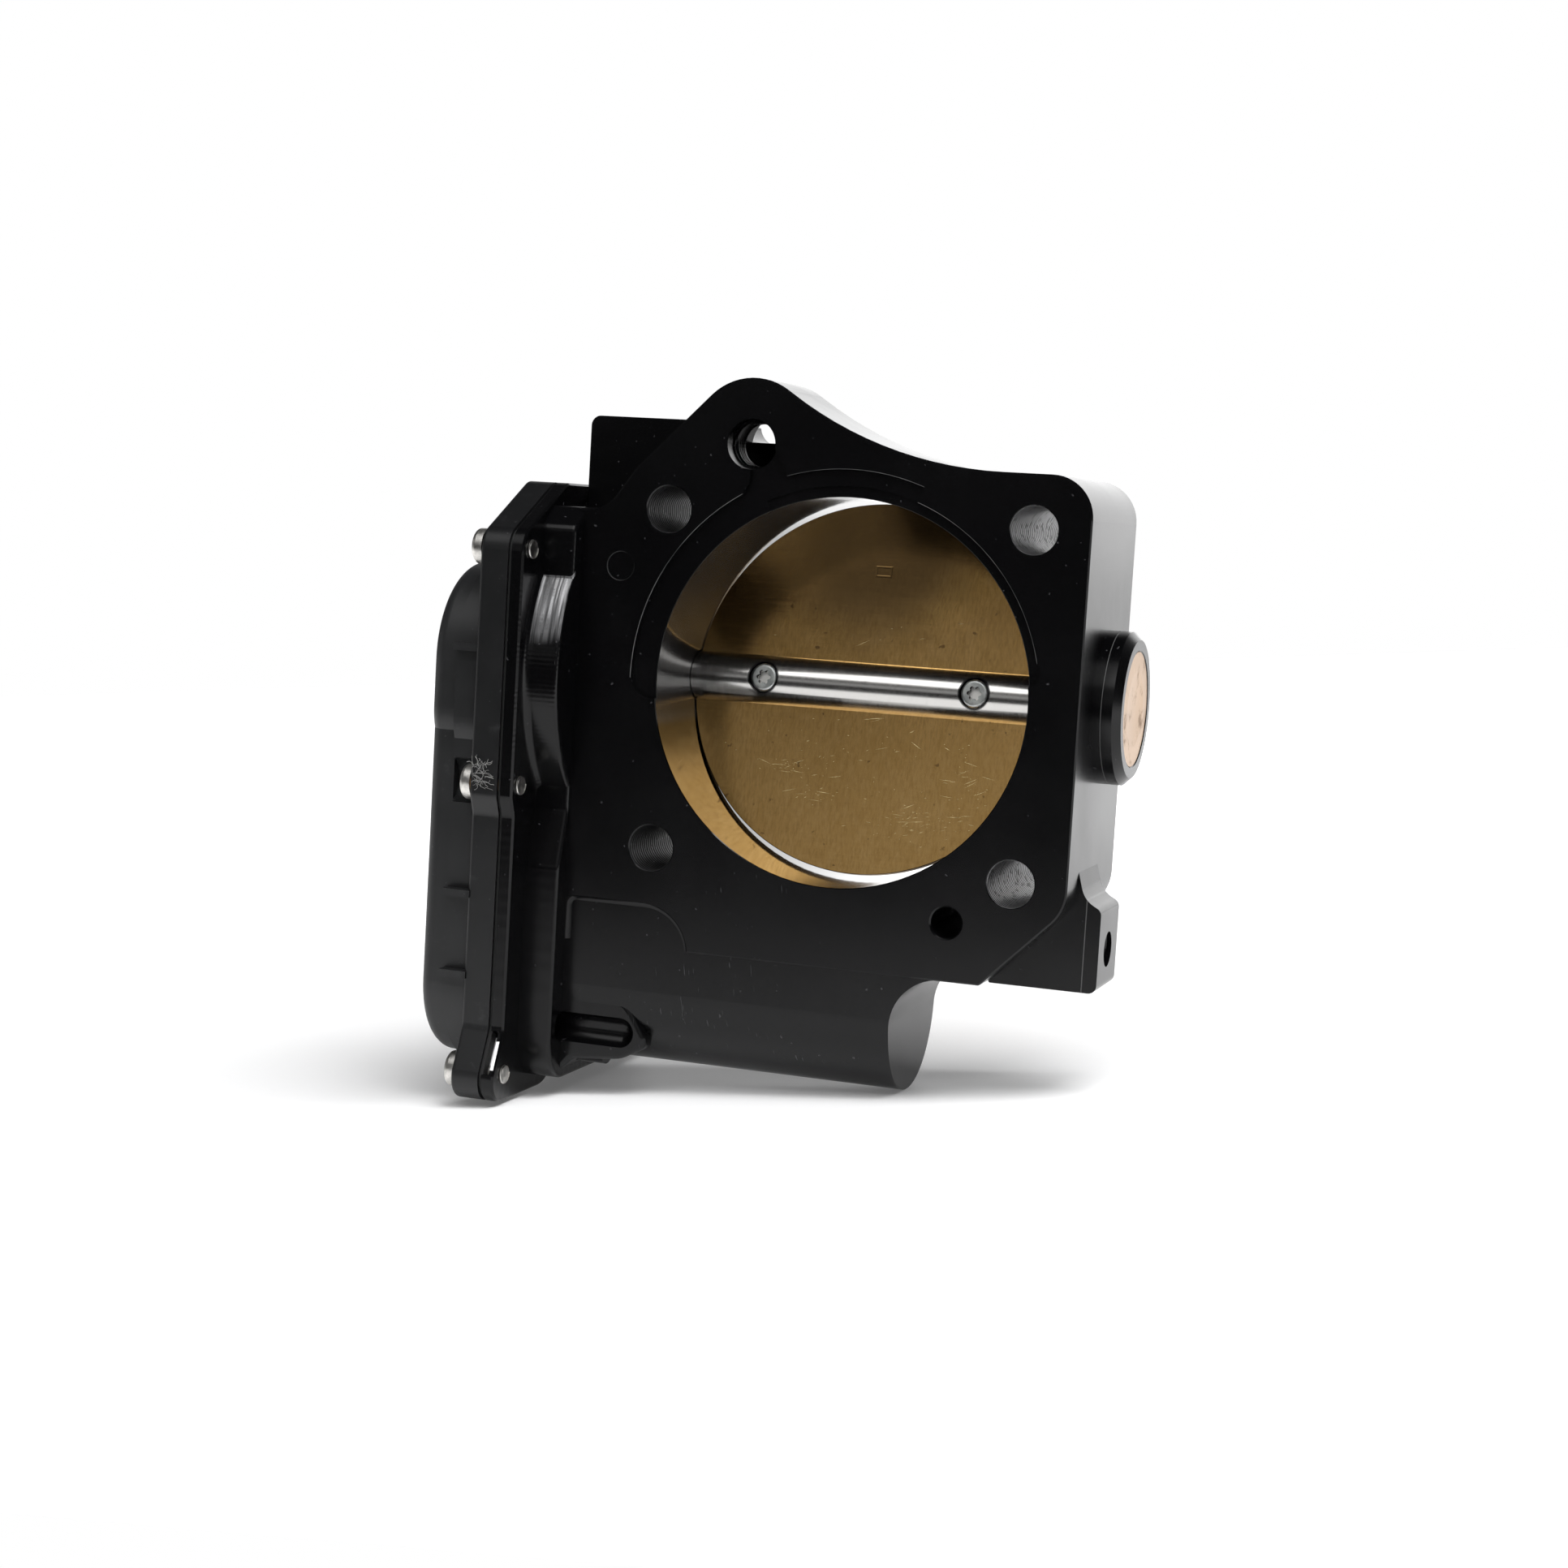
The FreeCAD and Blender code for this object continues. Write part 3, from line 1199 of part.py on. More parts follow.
# --- Cover -------------------------------------------------------------------------------------
def dome_outline(inset):
    """Outlines in Y and Z of the cover's round upper bulge and long lower bulge."""
    upper = mirrored([
        (-7.8 + inset, 20.3 - inset, 19.0 - inset),
        (-7.8 + inset, -20.3 + inset, 12.0),
    ])
    lower = mirrored([
        (-7.0 + inset, -9.5 - inset, 3.0),
        (-7.0 + inset, -78.8 + inset, 16.0 - inset),
    ])
    return upper, lower


def dome(inset, x0, x1):
    """Dome solid between two X levels."""
    upper, lower = dome_outline(inset)
    return fuse([yz_prism(upper, x0, x1), yz_prism(lower, x0, x1)])


def cover_hollow():
    """Space inside the cover, with the screw corners left solid."""
    floor = mirrored([
        (9.0, 31.0, 4.0),
        (-6.4, 22.4, 4.0),
        (-6.4, -74.0, 8.0),
        (4.0, -77.0, 6.0),
    ])
    lower = yz_prism(floor, COVER_FLANGE_X + COVER_WALL, GASKET_X + 1.0)
    upper = dome(COVER_WALL, DOME_X + COVER_WALL, GASKET_X + 1.0)
    hollow = fuse([lower, upper])
    for y, z in all_cover_screws():
        hollow = hollow.cut(x_cylinder(DOME_STEP_X - COVER_WALL, GASKET_X + 2.0, y, z, SCREW_RELIEF_R + 1.4))
    return hollow


def connector_solids():
    """Connector shroud on the cover's rear side: its outside and its socket."""
    outside = rounded_bar(CONNECTOR_X, CONNECTOR_Y, CONNECTOR_Z, 2.4)
    left, right = CONNECTOR_X
    bottom, top = CONNECTOR_Z
    collar = box(left - 0.5, right + 0.2, 56.5, 58.5, bottom - 1.0, top + 1.0)
    socket_y = (CONNECTOR_FLOOR_Y, CONNECTOR_Y[1] + 1.0)
    socket = rounded_bar(CONNECTOR_SOCKET_X, socket_y, CONNECTOR_SOCKET_Z, 1.4)
    return fuse([outside, collar]), socket


def rounded_bar(x_range, y_range, z_range, radius):
    """Box with its four edges along Y rounded."""
    bar = box(*x_range, *y_range, *z_range)
    long_edges = edges_where(bar, lambda p: min(abs(p.x - x) for x in x_range) < 0.02
                             and min(abs(p.z - z) for z in z_range) < 0.02)
    return bar.makeFillet(radius, long_edges)


def gear_cover():
    """Moulded gear cover: flange, stepped dome, screw bosses, ribs and connector shroud."""
    flange = yz_prism(case_flange_outline(), COVER_FLANGE_X, GASKET_X)
    rim = edges_where(flange, lambda p: near(p.x, COVER_FLANGE_X))
    flange = flange.makeFillet(0.8, rim)
    step = dome(-1.4, DOME_STEP_X, COVER_FLANGE_X)
    top = dome(0.0, DOME_X, DOME_STEP_X)
    top = top.makeFillet(2.6, edges_where(top, lambda p: near(p.x, DOME_X)))
    outside, socket = connector_solids()
    ribs = []
    for z in COVER_RIB_Z:
        for y0, y1 in ((-11.0, -7.0), (55.0, 59.0)):
            ribs.append(box(DOME_STEP_X, COVER_FLANGE_X + 0.5, y0, y1, z - 0.7, z + 0.7))
    shell = fuse([flange, step, top, outside] + ribs)
    tools = [cover_hollow(), socket]
    for y, z in all_cover_screws():
        tools.append(x_cylinder(COVER_FLANGE_X - 1.0, GASKET_X + 1.0, y, z, SLEEVE_R))
        tools.append(x_cylinder(DOME_STEP_X - 0.4, COVER_FLANGE_X, y, z, SCREW_RELIEF_R))
    shell = cut(shell, tools)
    pin_y, pin_z = gear_axis()
    pin_socket = x_tube(DOME_X + 1.0, SECTOR_LEFT - 1.0, pin_y, pin_z, PIN_R, 4.4)
    posts = [x_cylinder(DOME_X + 1.0, BOARD_X[0], y, 0.0, 2.0) for y in BOARD_POST_Y]
    shell = fuse([shell, pin_socket] + posts)
    return cut(shell, connector_blades(50.0, CONNECTOR_FLOOR_Y + 1.0))


def connector_blades(y0, y1):
    """Six blades in two rows, between two Y levels."""
    blades = []
    for x in CONNECTOR_BLADE_X:
        for z in CONNECTOR_BLADE_Z:
            blades.append(box(x - 0.4, x + 0.4, y0, y1, z - 0.8, z + 0.8))
    return blades


def connector_terminals():
    """Six blade terminals in the connector."""
    return Part.makeCompound(connector_blades(51.0, 68.0))


def case_gasket():
    """Flat gasket between the case and the cover."""
    face = rounded_face(case_flange_outline(), on_yz).makeOffset2D(-GASKET_INSET)
    face.translate(V(GASKET_X, 0, 0))
    sheet = face.extrude(V(FLANGE_X - GASKET_X, 0, 0))
    tools = [cover_hollow()]
    for y, z in all_cover_screws():
        tools.append(x_cylinder(GASKET_X - 1.0, FLANGE_X + 1.0, y, z, COVER_SCREW_R))
    return cut(sheet, tools)


def cover_screws():
    """Six pan-head screws through the cover into the case flange."""
    screws = []
    top = COVER_FLANGE_X - COVER_SCREW_HEAD
    tip = FLANGE_INNER_X + COVER_SCREW_TIP
    for y, z in all_cover_screws():
        head = x_cylinder(top, COVER_FLANGE_X, y, z, COVER_SCREW_HEAD_R)
        rim = edges_where(head, lambda p: near(p.x, top))
        shank = x_cylinder(COVER_FLANGE_X, tip, y, z, COVER_SCREW_R)
        socket = six_lobe(top - 0.3, y, z, 1.95, 1.8, X_AXIS)
        screws.append(fuse([head.makeFillet(0.9, rim), shank]).cut(socket))
    return Part.makeCompound(screws)


def cover_sleeves():
    """Metal sleeves that take the screws' clamping load through the plastic flange."""
    sleeves = []
    for y, z in all_cover_screws():
        sleeves.append(x_tube(COVER_FLANGE_X, GASKET_X, y, z, COVER_SCREW_R, SLEEVE_R))
    return Part.makeCompound(sleeves)


def sensor_board():
    """Circuit board of the position sensor, on two posts in the dome."""
    return yz_prism(mirrored([(5.5, 12.0, 3.0), (5.5, -12.0, 3.0)]), *BOARD_X)


def sensor_chips():
    """Two position sensor chips facing the magnets."""
    board_face = BOARD_X[1]
    chips = [box(board_face, board_face + 1.1, y - 2.5, y + 2.5, -2.2, 2.2) for y in CHIP_Y]
    return Part.makeCompound(chips)


def motor_contacts():
    """Forked spring contacts in the cover that grip the motor's blades."""
    forks = []
    low, high = TERMINAL_Z
    for offset in TERMINAL_OFFSETS:
        y = MOTOR_Y + offset
        outer = box(DOME_X + COVER_WALL, -62.0, y - 1.2, y + 1.2, low - 1.0, high + 1.0)
        slot = box(-68.0, -61.0, y - 2.0, y + 2.0, low, high)
        forks.append(outer.cut(slot))
    return Part.makeCompound(forks)


# --- Output ------------------------------------------------------------------------------------
def build_parts():
    """Every sub-part, by node name."""
    return {
        "main_housing": main_housing(),
        "bearing_plug": bearing_plug(),
        "passage_plug": passage_plug(),
        "rear_face_o_ring": rear_o_ring(),
        "shaft_seals": shaft_seals(),
        "gear_side_bearing_outer_ring": bearing_outer_ring(GEAR_BEARING_X),
        "gear_side_bearing_inner_ring": bearing_inner_ring(GEAR_BEARING_X),
        "gear_side_bearing_balls": bearing_balls(GEAR_BEARING_X),
        "gear_side_bearing_cage": bearing_cage(GEAR_BEARING_X),
        "plug_side_bearing_outer_ring": bearing_outer_ring(PLUG_BEARING_X),
        "plug_side_bearing_inner_ring": bearing_inner_ring(PLUG_BEARING_X),
        "plug_side_bearing_balls": bearing_balls(PLUG_BEARING_X),
        "plug_side_bearing_cage": bearing_cage(PLUG_BEARING_X),
        "throttle_shaft": throttle_shaft(),
        "throttle_plate": throttle_plate(),
        "plate_screws": plate_screws(),
        "sector_gear": sector_gear(),
        "sector_gear_insert": sector_insert(),
        "shaft_nut": shaft_nut(),
        "sensor_magnets": sensor_magnets(),
        "spring_guide": spring_guide(),
        "return_spring": return_spring(),
        "intermediate_gear": intermediate_gear(),
        "intermediate_gear_bush": intermediate_gear_bush(),
        "intermediate_gear_pin": intermediate_gear_pin(),
        "stop_pins": stop_pins(),
        "motor_can": motor_can(),
        "motor_magnets": motor_magnets(),
        "motor_end_plate": motor_end_plate(),
        "motor_screws": motor_screw_set(),
        "motor_bushes": motor_bushes(),
        "motor_brushes": motor_brushes(),
        "brush_holders": brush_holders(),
        "motor_terminals": motor_terminals(),
        "motor_wave_washer": motor_wave_washer(),
        "motor_shaft": motor_shaft(),
        "motor_armature": motor_armature(),
        "motor_windings": motor_windings(),
        "motor_commutator": motor_commutator(),
        "motor_pinion": motor_pinion(),
        "case_gasket": case_gasket(),
        "gear_cover": gear_cover(),
        "cover_screws": cover_screws(),
        "cover_screw_sleeves": cover_sleeves(),
        "sensor_board": sensor_board(),
        "sensor_chips": sensor_chips(),
        "motor_contacts": motor_contacts(),
        "connector_terminals": connector_terminals(),
    }


def main():
    os.makedirs("parts", exist_ok=True)
    for name, shape in build_parts().items():
        shape.exportStep("parts/" + name + ".step")
        print(name, len(shape.Solids), "solids", round(shape.Volume, 1), "mm3", shape.isValid())


main()
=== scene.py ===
"""Looks of the electronic throttle body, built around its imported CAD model.

Metres, in the row frame: the bore runs along Y, the throttle shaft along X and up is +Z.
"""

import json
import math
import random

import bpy
from mathutils import Matrix, Vector


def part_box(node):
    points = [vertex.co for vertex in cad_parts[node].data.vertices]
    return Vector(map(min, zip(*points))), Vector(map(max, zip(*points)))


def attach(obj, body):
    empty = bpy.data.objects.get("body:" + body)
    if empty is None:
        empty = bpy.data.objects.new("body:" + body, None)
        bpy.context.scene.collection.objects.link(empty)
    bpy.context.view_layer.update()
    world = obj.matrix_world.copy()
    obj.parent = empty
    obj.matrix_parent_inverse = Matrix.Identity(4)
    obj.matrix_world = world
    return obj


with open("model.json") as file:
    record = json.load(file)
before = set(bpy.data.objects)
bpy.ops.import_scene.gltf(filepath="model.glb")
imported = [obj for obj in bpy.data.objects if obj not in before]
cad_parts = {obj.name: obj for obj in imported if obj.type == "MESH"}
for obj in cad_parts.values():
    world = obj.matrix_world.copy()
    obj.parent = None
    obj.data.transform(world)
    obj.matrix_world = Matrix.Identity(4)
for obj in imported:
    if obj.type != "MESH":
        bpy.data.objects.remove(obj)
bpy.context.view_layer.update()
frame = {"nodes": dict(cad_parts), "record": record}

MM = 0.001

# --- Places taken from the frame -------------------------------------------------------------
SHAFT_LOW, SHAFT_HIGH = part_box("throttle_shaft")
SHAFT_Y = (SHAFT_LOW.y + SHAFT_HIGH.y) / 2
SCREW_TIPS_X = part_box("cover_screws")[1].x
FLANGE_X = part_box("case_gasket")[1].x
MOUNTS = {mount["name"]: mount for mount in frame["record"]["mounts"]}
BOLTS = MOUNTS["front_bolts"]["dims"]
BOLT_X = BOLTS["spacing_x_mm"] / 2 * MM
BOLT_Z = BOLTS["spacing_y_mm"] / 2 * MM
BOLT_HOLE_R = BOLTS["hole_r_mm"] * MM

# --- The part's other dimensions -------------------------------------------------------------
BORE_R = 37.0 * MM
RECESS_R = 42.2 * MM
RECESS_SLANT = 0.367
LIP_R = 39.1 * MM
LIP_SLANT = 0.158
PASSAGE_X = -45.4 * MM
PASSAGE_Z = 21.4 * MM
PASSAGE_R = 2.8 * MM
SEAM_X = 48.75 * MM
CASE_DEPTH = 9.5 * MM
BODY_LEFT = FLANGE_X + CASE_DEPTH
DRUM_R = 33.4 * MM
DRUM_TOP = 21.0 * MM
NOTCH_WIDE = 2.2 * MM
NOTCH_LOW = -77.4 * MM
NOTCH_HIGH = -72.1 * MM
NOTCH_SLANT = 0.4535
NOTCH_FLOOR = 20.8 * MM
MOTOR_Y = 17.3 * MM
MOTOR_Z = -61.3 * MM
REST_TILT = math.radians(11.4)
PLATE_HALF_THICK = 1.0 * MM
PLATE_SCREW_X = 21.6 * MM
PLATE_SCREW_R = 2.75 * MM
SOCKET_R = 1.56 * MM
SOCKET_TOP = 4.62 * MM
SOCKET_FLOOR = 3.60 * MM
COVER_SCREWS = ((-8.4, 23.6), (-8.8, -22.1), (-9.8, -78.8), (56.4, 23.6), (56.8, -22.1), (57.8, -78.8))
COVER_SCREW_R = 1.75 * MM
COVER_FLANGE = 7.2 * MM

# --- Finish ----------------------------------------------------------------------------------
TURN = 2 * math.pi
RING_PITCH = 1.05 * MM
WIRE_PITCH = 0.45 * MM
LAMINATION_PITCH = 0.5 * MM
TRACK_PITCH = 1.3 * MM
# Width of the painted highlight lines at sharp edges.
EDGE_HIGHLIGHT_WIDTH = 0.07 * MM
SHAFT_SHADE_FROM = 6.0 * MM
SHAFT_SHADE_TO = 9.5 * MM

# --- Camera, floor and light -----------------------------------------------------------------
CAMERA_AT = Vector((0.15383, -0.48573, 0.03159))
CAMERA_AZIMUTH = math.radians(18.583)
CAMERA_ELEVATION = math.radians(5.526)
CAMERA_ROLL = math.radians(3.381)
LENS_MM = 61.98
SENSOR_MM = 36.0
FLOOR_TOUCH = Vector((0.013, 0.0173, -0.0774))
FLOOR_TILT = math.radians(5.9)
FLOOR_X = 3.0
FLOOR_FRONT = -0.26
FLOOR_BACK = 3.5
LIGHT_BEHIND = 1.95
LIGHT_CARD = 0.37
LIGHT_SIDE = 0.5
LIGHT_ROOM = 0.012


# --- Node helpers ----------------------------------------------------------------------------
class Graph:
    """A material's node tree, with short calls for the nodes used here."""

    def __init__(self, name):
        self.material = bpy.data.materials.new(name)
        self.material.use_nodes = True
        self.tree = self.material.node_tree
        self.shader = self.tree.nodes["Principled BSDF"]
        self.coordinates = self.tree.nodes.new("ShaderNodeTexCoord").outputs["Object"]
        split = self.tree.nodes.new("ShaderNodeSeparateXYZ")
        self.tree.links.new(self.coordinates, split.inputs[0])
        self.x, self.y, self.z = split.outputs

    def put(self, socket, value):
        """Links a socket, or sets a plain value."""
        if isinstance(value, bpy.types.NodeSocket):
            self.tree.links.new(value, socket)
        else:
            socket.default_value = value

    def math(self, operation, first, second=0.0):
        """One step of arithmetic."""
        node = self.tree.nodes.new("ShaderNodeMath")
        node.operation = operation
        for socket, value in zip(node.inputs, (first, second)):
            self.put(socket, value)
        return node.outputs[0]

    def add(self, first, second):
        """Sum of two values."""
        return self.math("ADD", first, second)

    def times(self, first, second):
        """Product of two values, and so both of two masks."""
        return self.math("MULTIPLY", first, second)

    def rest(self, mask):
        """What a mask leaves."""
        return self.math("SUBTRACT", 1.0, mask)

    def near(self, value, centre, half):
        """Mask that is 1 within half of a centre."""
        away = self.math("ABSOLUTE", self.math("SUBTRACT", value, centre))
        return self.math("LESS_THAN", away, half)

    def ramp(self, value, low, high, out_low=0.0, out_high=1.0):
        """Smooth step of value from low to high."""
        node = self.tree.nodes.new("ShaderNodeMapRange")
        node.interpolation_type = "SMOOTHSTEP"
        for socket, item in zip(node.inputs, (value, low, high, out_low, out_high)):
            self.put(socket, item)
        return node.outputs[0]

    def scaled(self, scale, turn=(0.0, 0.0, 0.0)):
        """Object coordinates, turned and then scaled."""
        rotate = self.tree.nodes.new("ShaderNodeVectorRotate")
        rotate.rotation_type = "EULER_XYZ"
        rotate.inputs["Rotation"].default_value = turn
        self.tree.links.new(self.coordinates, rotate.inputs["Vector"])
        mapping = self.tree.nodes.new("ShaderNodeMapping")
        mapping.inputs["Scale"].default_value = scale
        self.tree.links.new(rotate.outputs[0], mapping.inputs["Vector"])
        return mapping.outputs[0]

    def noise(self, scale, detail=3.0, roughness=0.55, vector=None):
        """Cloudy noise, by default over the object's own coordinates."""
        node = self.tree.nodes.new("ShaderNodeTexNoise")
        self.put(node.inputs["Vector"], vector or self.coordinates)
        node.inputs["Scale"].default_value = scale
        node.inputs["Detail"].default_value = detail
        node.inputs["Roughness"].default_value = roughness
        return node.outputs["Fac"]

    def mix(self, factor, first, second):
        """Colour between two colours."""
        node = self.tree.nodes.new("ShaderNodeMix")
        node.data_type = "RGBA"
        self.put(node.inputs["Factor"], factor)
        for name, value in (("A", first), ("B", second)):
            socket = [s for s in node.inputs if s.name == name and s.type == "RGBA"][0]
            self.put(socket, value if isinstance(value, bpy.types.NodeSocket) else (*value, 1.0))
        return [s for s in node.outputs if s.type == "RGBA"][0]

    def bump(self, height_mm):
        """Bump from a height in millimetres."""
        node = self.tree.nodes.new("ShaderNodeBump")
        node.inputs["Strength"].default_value = 1.0
        node.inputs["Distance"].default_value = MM
        self.put(node.inputs["Height"], height_mm)
        self.put(self.shader.inputs["Normal"], node.outputs[0])

    def set(self, **values):
        """Sets or links the shader's main sockets."""
        names = {"colour": "Base Color", "metallic": "Metallic", "roughness": "Roughness", "ior": "IOR"}
        for key, value in values.items():
            if key == "colour" and not isinstance(value, bpy.types.NodeSocket):
                value = (*value, 1.0)
            self.put(self.shader.inputs[names[key]], value)

    def distance(self, a, a_centre, b, b_centre):
        """Distance from an axis, given the two coordinates across it."""
        da = self.math("SUBTRACT", a, a_centre)
        db = self.math("SUBTRACT", b, b_centre)
        return self.math("SQRT", self.add(self.times(da, da), self.times(db, db)))


# --- Materials -------------------------------------------------------------------------------
def anodised_black():
    """Black anodised housing with a dark polished bore, ringed bolt holes, and painted light: shade in the
    bore and the left bolt holes, highlights on the drum band, the notch's floor and sharp edges.
    """
    g = Graph("anodised_black")
    bore = g.math("LESS_THAN", g.distance(g.x, 0.0, g.z, 0.0), BORE_R + 0.12 * MM)
    away = g.distance(g.math("ABSOLUTE", g.x), BOLT_X, g.math("ABSOLUTE", g.z), BOLT_Z)
    hole = g.math("LESS_THAN", away, BOLT_HOLE_R + 0.06 * MM)
    notch = notch_highlight_mask(g)
    drum = drum_highlight_mask(g)
    cut_tone_and_shade, cut_metal, cut_rough, cut_height = bolt_hole_finish_and_shade(g)
    bore_tone_and_shade, bore_metal, bore_rough = bore_finish_and_shade(g)
    colour = g.mix(hole, black_skin_and_edge_highlights(g), cut_tone_and_shade)
    # Honed tone of the bore, with painted shade beside and above the shaft.
    colour = g.mix(bore, colour, bore_tone_and_shade)
    # Painted highlight: the drum band light grey and metallic.
    colour = g.mix(drum, colour, (0.42, 0.42, 0.43))
    # Painted highlight: the notch's floor white and rough.
    colour = g.mix(notch, colour, (0.95, 0.95, 0.95))
    metal = g.math("MAXIMUM", g.times(bore, bore_metal), g.times(hole, cut_metal))
    g.set(colour=colour, metallic=g.math("MAXIMUM", metal, drum), ior=1.36)
    skin_rough = g.ramp(g.noise(28.0, 4.0), 0.3, 0.7, 0.20, 0.27)
    rough = g.add(g.times(bore, bore_rough), g.times(g.rest(bore), skin_rough))
    rough = g.add(rough, g.times(hole, cut_rough))
    g.set(roughness=g.add(rough, g.times(notch, 0.5)))
    grain = g.times(g.rest(bore), g.times(g.noise(1400.0, 2.0), 0.0010))
    g.bump(g.add(g.add(grain, g.times(hole, cut_height)), tool_marks(g)))
    return g.material


def black_skin_and_edge_highlights(g):
    """Tone of the black skin: faint smears, dust and scratches, and painted highlight lines at sharp edges.
    """
    smear = g.ramp(g.noise(60.0, 5.0, 0.7), 0.55, 0.8)
    tone = g.mix(smear, (0.0018, 0.0018, 0.0021), (0.0036, 0.0036, 0.0040))
    tone = g.mix(g.times(face_marks(g), 0.5), tone, (0.16, 0.16, 0.17))
    # Painted highlight: thin light lines at sharp edges over the skin.
    return g.mix(edge_highlight_lines(g), tone, (0.13, 0.13, 0.13))


def bolt_hole_finish_and_shade(g):
    """Tone, metal, roughness and height of the bolt holes' walls: cut rings with small pits, and painted
    shade in the two left holes.
    """
    wander = g.times(g.noise(160.0, 2.0), 0.4 * MM)
    rings = g.math("SINE", g.times(g.add(g.y, wander), TURN / RING_PITCH))
    pits = g.ramp(g.noise(900.0, 2.0), 0.56, 0.64)
    left = g.math("LESS_THAN", g.x, 0.0)
    bright = g.ramp(rings, -0.2, 0.8)
    tone = g.mix(bright, (0.020, 0.020, 0.021), (0.33, 0.33, 0.335))
    tone = g.mix(pits, tone, (0.010, 0.010, 0.010))
    # Painted shade: the two left holes darker and less metallic than the right ones.
    darker = g.mix(g.ramp(rings, -0.5, 0.6), (0.002, 0.002, 0.002), (0.032, 0.032, 0.033))
    tone = g.mix(left, tone, darker)
    metal = g.times(g.times(bright, g.rest(pits)), g.rest(g.times(left, 0.7)))
    rough = g.ramp(rings, -0.2, 0.8, 0.40, 0.06)
    height = g.add(g.times(rings, 0.020), g.times(pits, -0.05))
    return tone, metal, rough, height


def bore_finish_and_shade(g):
    """Tone, metal and roughness of the honed bore, with painted shade beside the shaft and above it."""
    honed = g.noise(1.0, 3.0, 0.6, g.scaled((90.0, 2500.0, 90.0)))
    off_shaft = g.math("ABSOLUTE", g.z)
    # Painted shade: the bore wall dark and less metallic beside the shaft and above it.
    clear = g.ramp(off_shaft, SHAFT_SHADE_FROM, SHAFT_SHADE_TO, 0.12, 1.0)
    clear = g.times(clear, g.ramp(g.z, 3.0 * MM, 8.0 * MM, 1.0, 0.62))
    tone = g.mix(honed, (0.075, 0.073, 0.070), (0.115, 0.112, 0.108))
    tone = g.mix(clear, (0.010, 0.010, 0.010), tone)
    beside = g.ramp(off_shaft, SHAFT_SHADE_FROM, SHAFT_SHADE_TO, 0.05, 0.0)
    rough = g.add(g.ramp(honed, 0.3, 0.7, 0.06, 0.12), beside)
    return tone, clear, rough


def edge_highlight_lines(g):
    """Painted highlights as thin light lines: the front recess's edges, the passage plug's rim and the boss's
    seam.
    """
    radius = g.distance(g.x, 0.0, g.z, 0.0)
    left = g.math("LESS_THAN", g.add(g.x, g.times(g.z, -RECESS_SLANT)), 0.0)
    above = g.math("GREATER_THAN", g.z, 0.0)
    above_slant = g.math("GREATER_THAN", g.add(g.z, g.times(g.x, -LIP_SLANT)), 0.0)
    recess = g.times(g.near(radius, RECESS_R, EDGE_HIGHLIGHT_WIDTH), g.times(left, above))
    lip = g.times(g.near(radius, LIP_R, EDGE_HIGHLIGHT_WIDTH), g.times(g.rest(left), above_slant))
    from_plug = g.distance(g.x, PASSAGE_X, g.z, PASSAGE_Z)
    fading = g.ramp(g.x, -44.0 * MM, -46.0 * MM, 0.10, 0.55)
    rim = g.times(g.near(from_plug, PASSAGE_R, 0.09 * MM), fading)
    uneven = g.ramp(g.noise(70.0, 2.0), 0.35, 0.6, 0.35, 1.0)
    on_face = g.times(g.near(g.y, 0.0, 0.22 * MM), uneven)
    # Painted highlight lines along the recess, the lip and the plug's rim, and on the seam.
    lines = g.times(g.add(g.add(recess, lip), rim), on_face)
    seam = g.times(g.near(g.x, SEAM_X, 0.10 * MM), 0.6)
    return g.math("MAXIMUM", lines, seam)


def drum_highlight_mask(g):
    """Painted highlight: a bright, streaked band round the top of the gear case's drum."""
    radius = g.distance(g.y, SHAFT_Y, g.z, 0.0)
    on_drum = g.near(radius, DRUM_R, 0.25 * MM)
    beside = g.times(g.math("LESS_THAN", g.x, BODY_LEFT), g.math("GREATER_THAN", g.x, FLANGE_X))
    high = g.ramp(g.add(g.z, g.times(g.noise(150.0, 3.0), 3.0 * MM)), 7.0 * MM, 12.0 * MM)
    front = g.times(g.math("LESS_THAN", g.y, SHAFT_Y), g.ramp(g.z, DRUM_TOP, 17.5 * MM))
    streaks = g.noise(1.0, 3.0, 0.6, g.scaled((1500.0, 60.0, 60.0)))
    streaked_highlight = g.ramp(streaks, 0.38, 0.62, 0.15, 0.9)
    return g.times(g.times(g.times(on_drum, beside), g.times(high, front)), streaked_highlight)


def notch_highlight_mask(g):
    """Painted highlight on the floor of the small levering notch in the case's lower front ear."""
    right_of_rim = g.math("GREATER_THAN", g.x, FLANGE_X)
    across = g.times(right_of_rim, g.math("LESS_THAN", g.x, FLANGE_X + NOTCH_WIDE))
    upward = g.times(g.math("GREATER_THAN", g.z, NOTCH_LOW), g.math("LESS_THAN", g.z, NOTCH_HIGH))
    front = g.math("LESS_THAN", g.y, -6.0 * MM)
    slope = g.add(g.y, g.times(g.z, -NOTCH_SLANT))
    sunk = g.math("GREATER_THAN", slope, NOTCH_FLOOR)
    return g.times(g.times(across, upward), g.times(front, sunk))


def face_marks(g):
    """Dust specks and a few fine scratches."""
    dust = g.ramp(g.noise(950.0, 1.0, 0.4), 0.755, 0.80)
    patch = g.ramp(g.noise(22.0, 1.0), 0.60, 0.68)
    scratch = g.noise(1.0, 0.0, 0.3, g.scaled((4200.0, 300.0, 420.0), (0.0, 0.12, 0.0)))
    fine = g.times(g.ramp(scratch, 0.80, 0.84), patch)
    return g.math("MAXIMUM", g.times(dust, 0.5), g.times(fine, 0.6))


def tool_marks(g):
    """Fine ridges that a ball-nosed cutter left round the gear case."""
    beside_case = g.ramp(g.x, BODY_LEFT + 1.0 * MM, BODY_LEFT, 0.0, 1.0)
    around = g.math("ARCTAN2", g.z, g.math("SUBTRACT", g.y, SHAFT_Y))
    ridges = g.math("SINE", g.times(around, 230.0))
    wander = g.ramp(g.noise(170.0, 2.0), 0.35, 0.65)
    return g.times(g.times(beside_case, wander), g.times(ridges, 0.006))


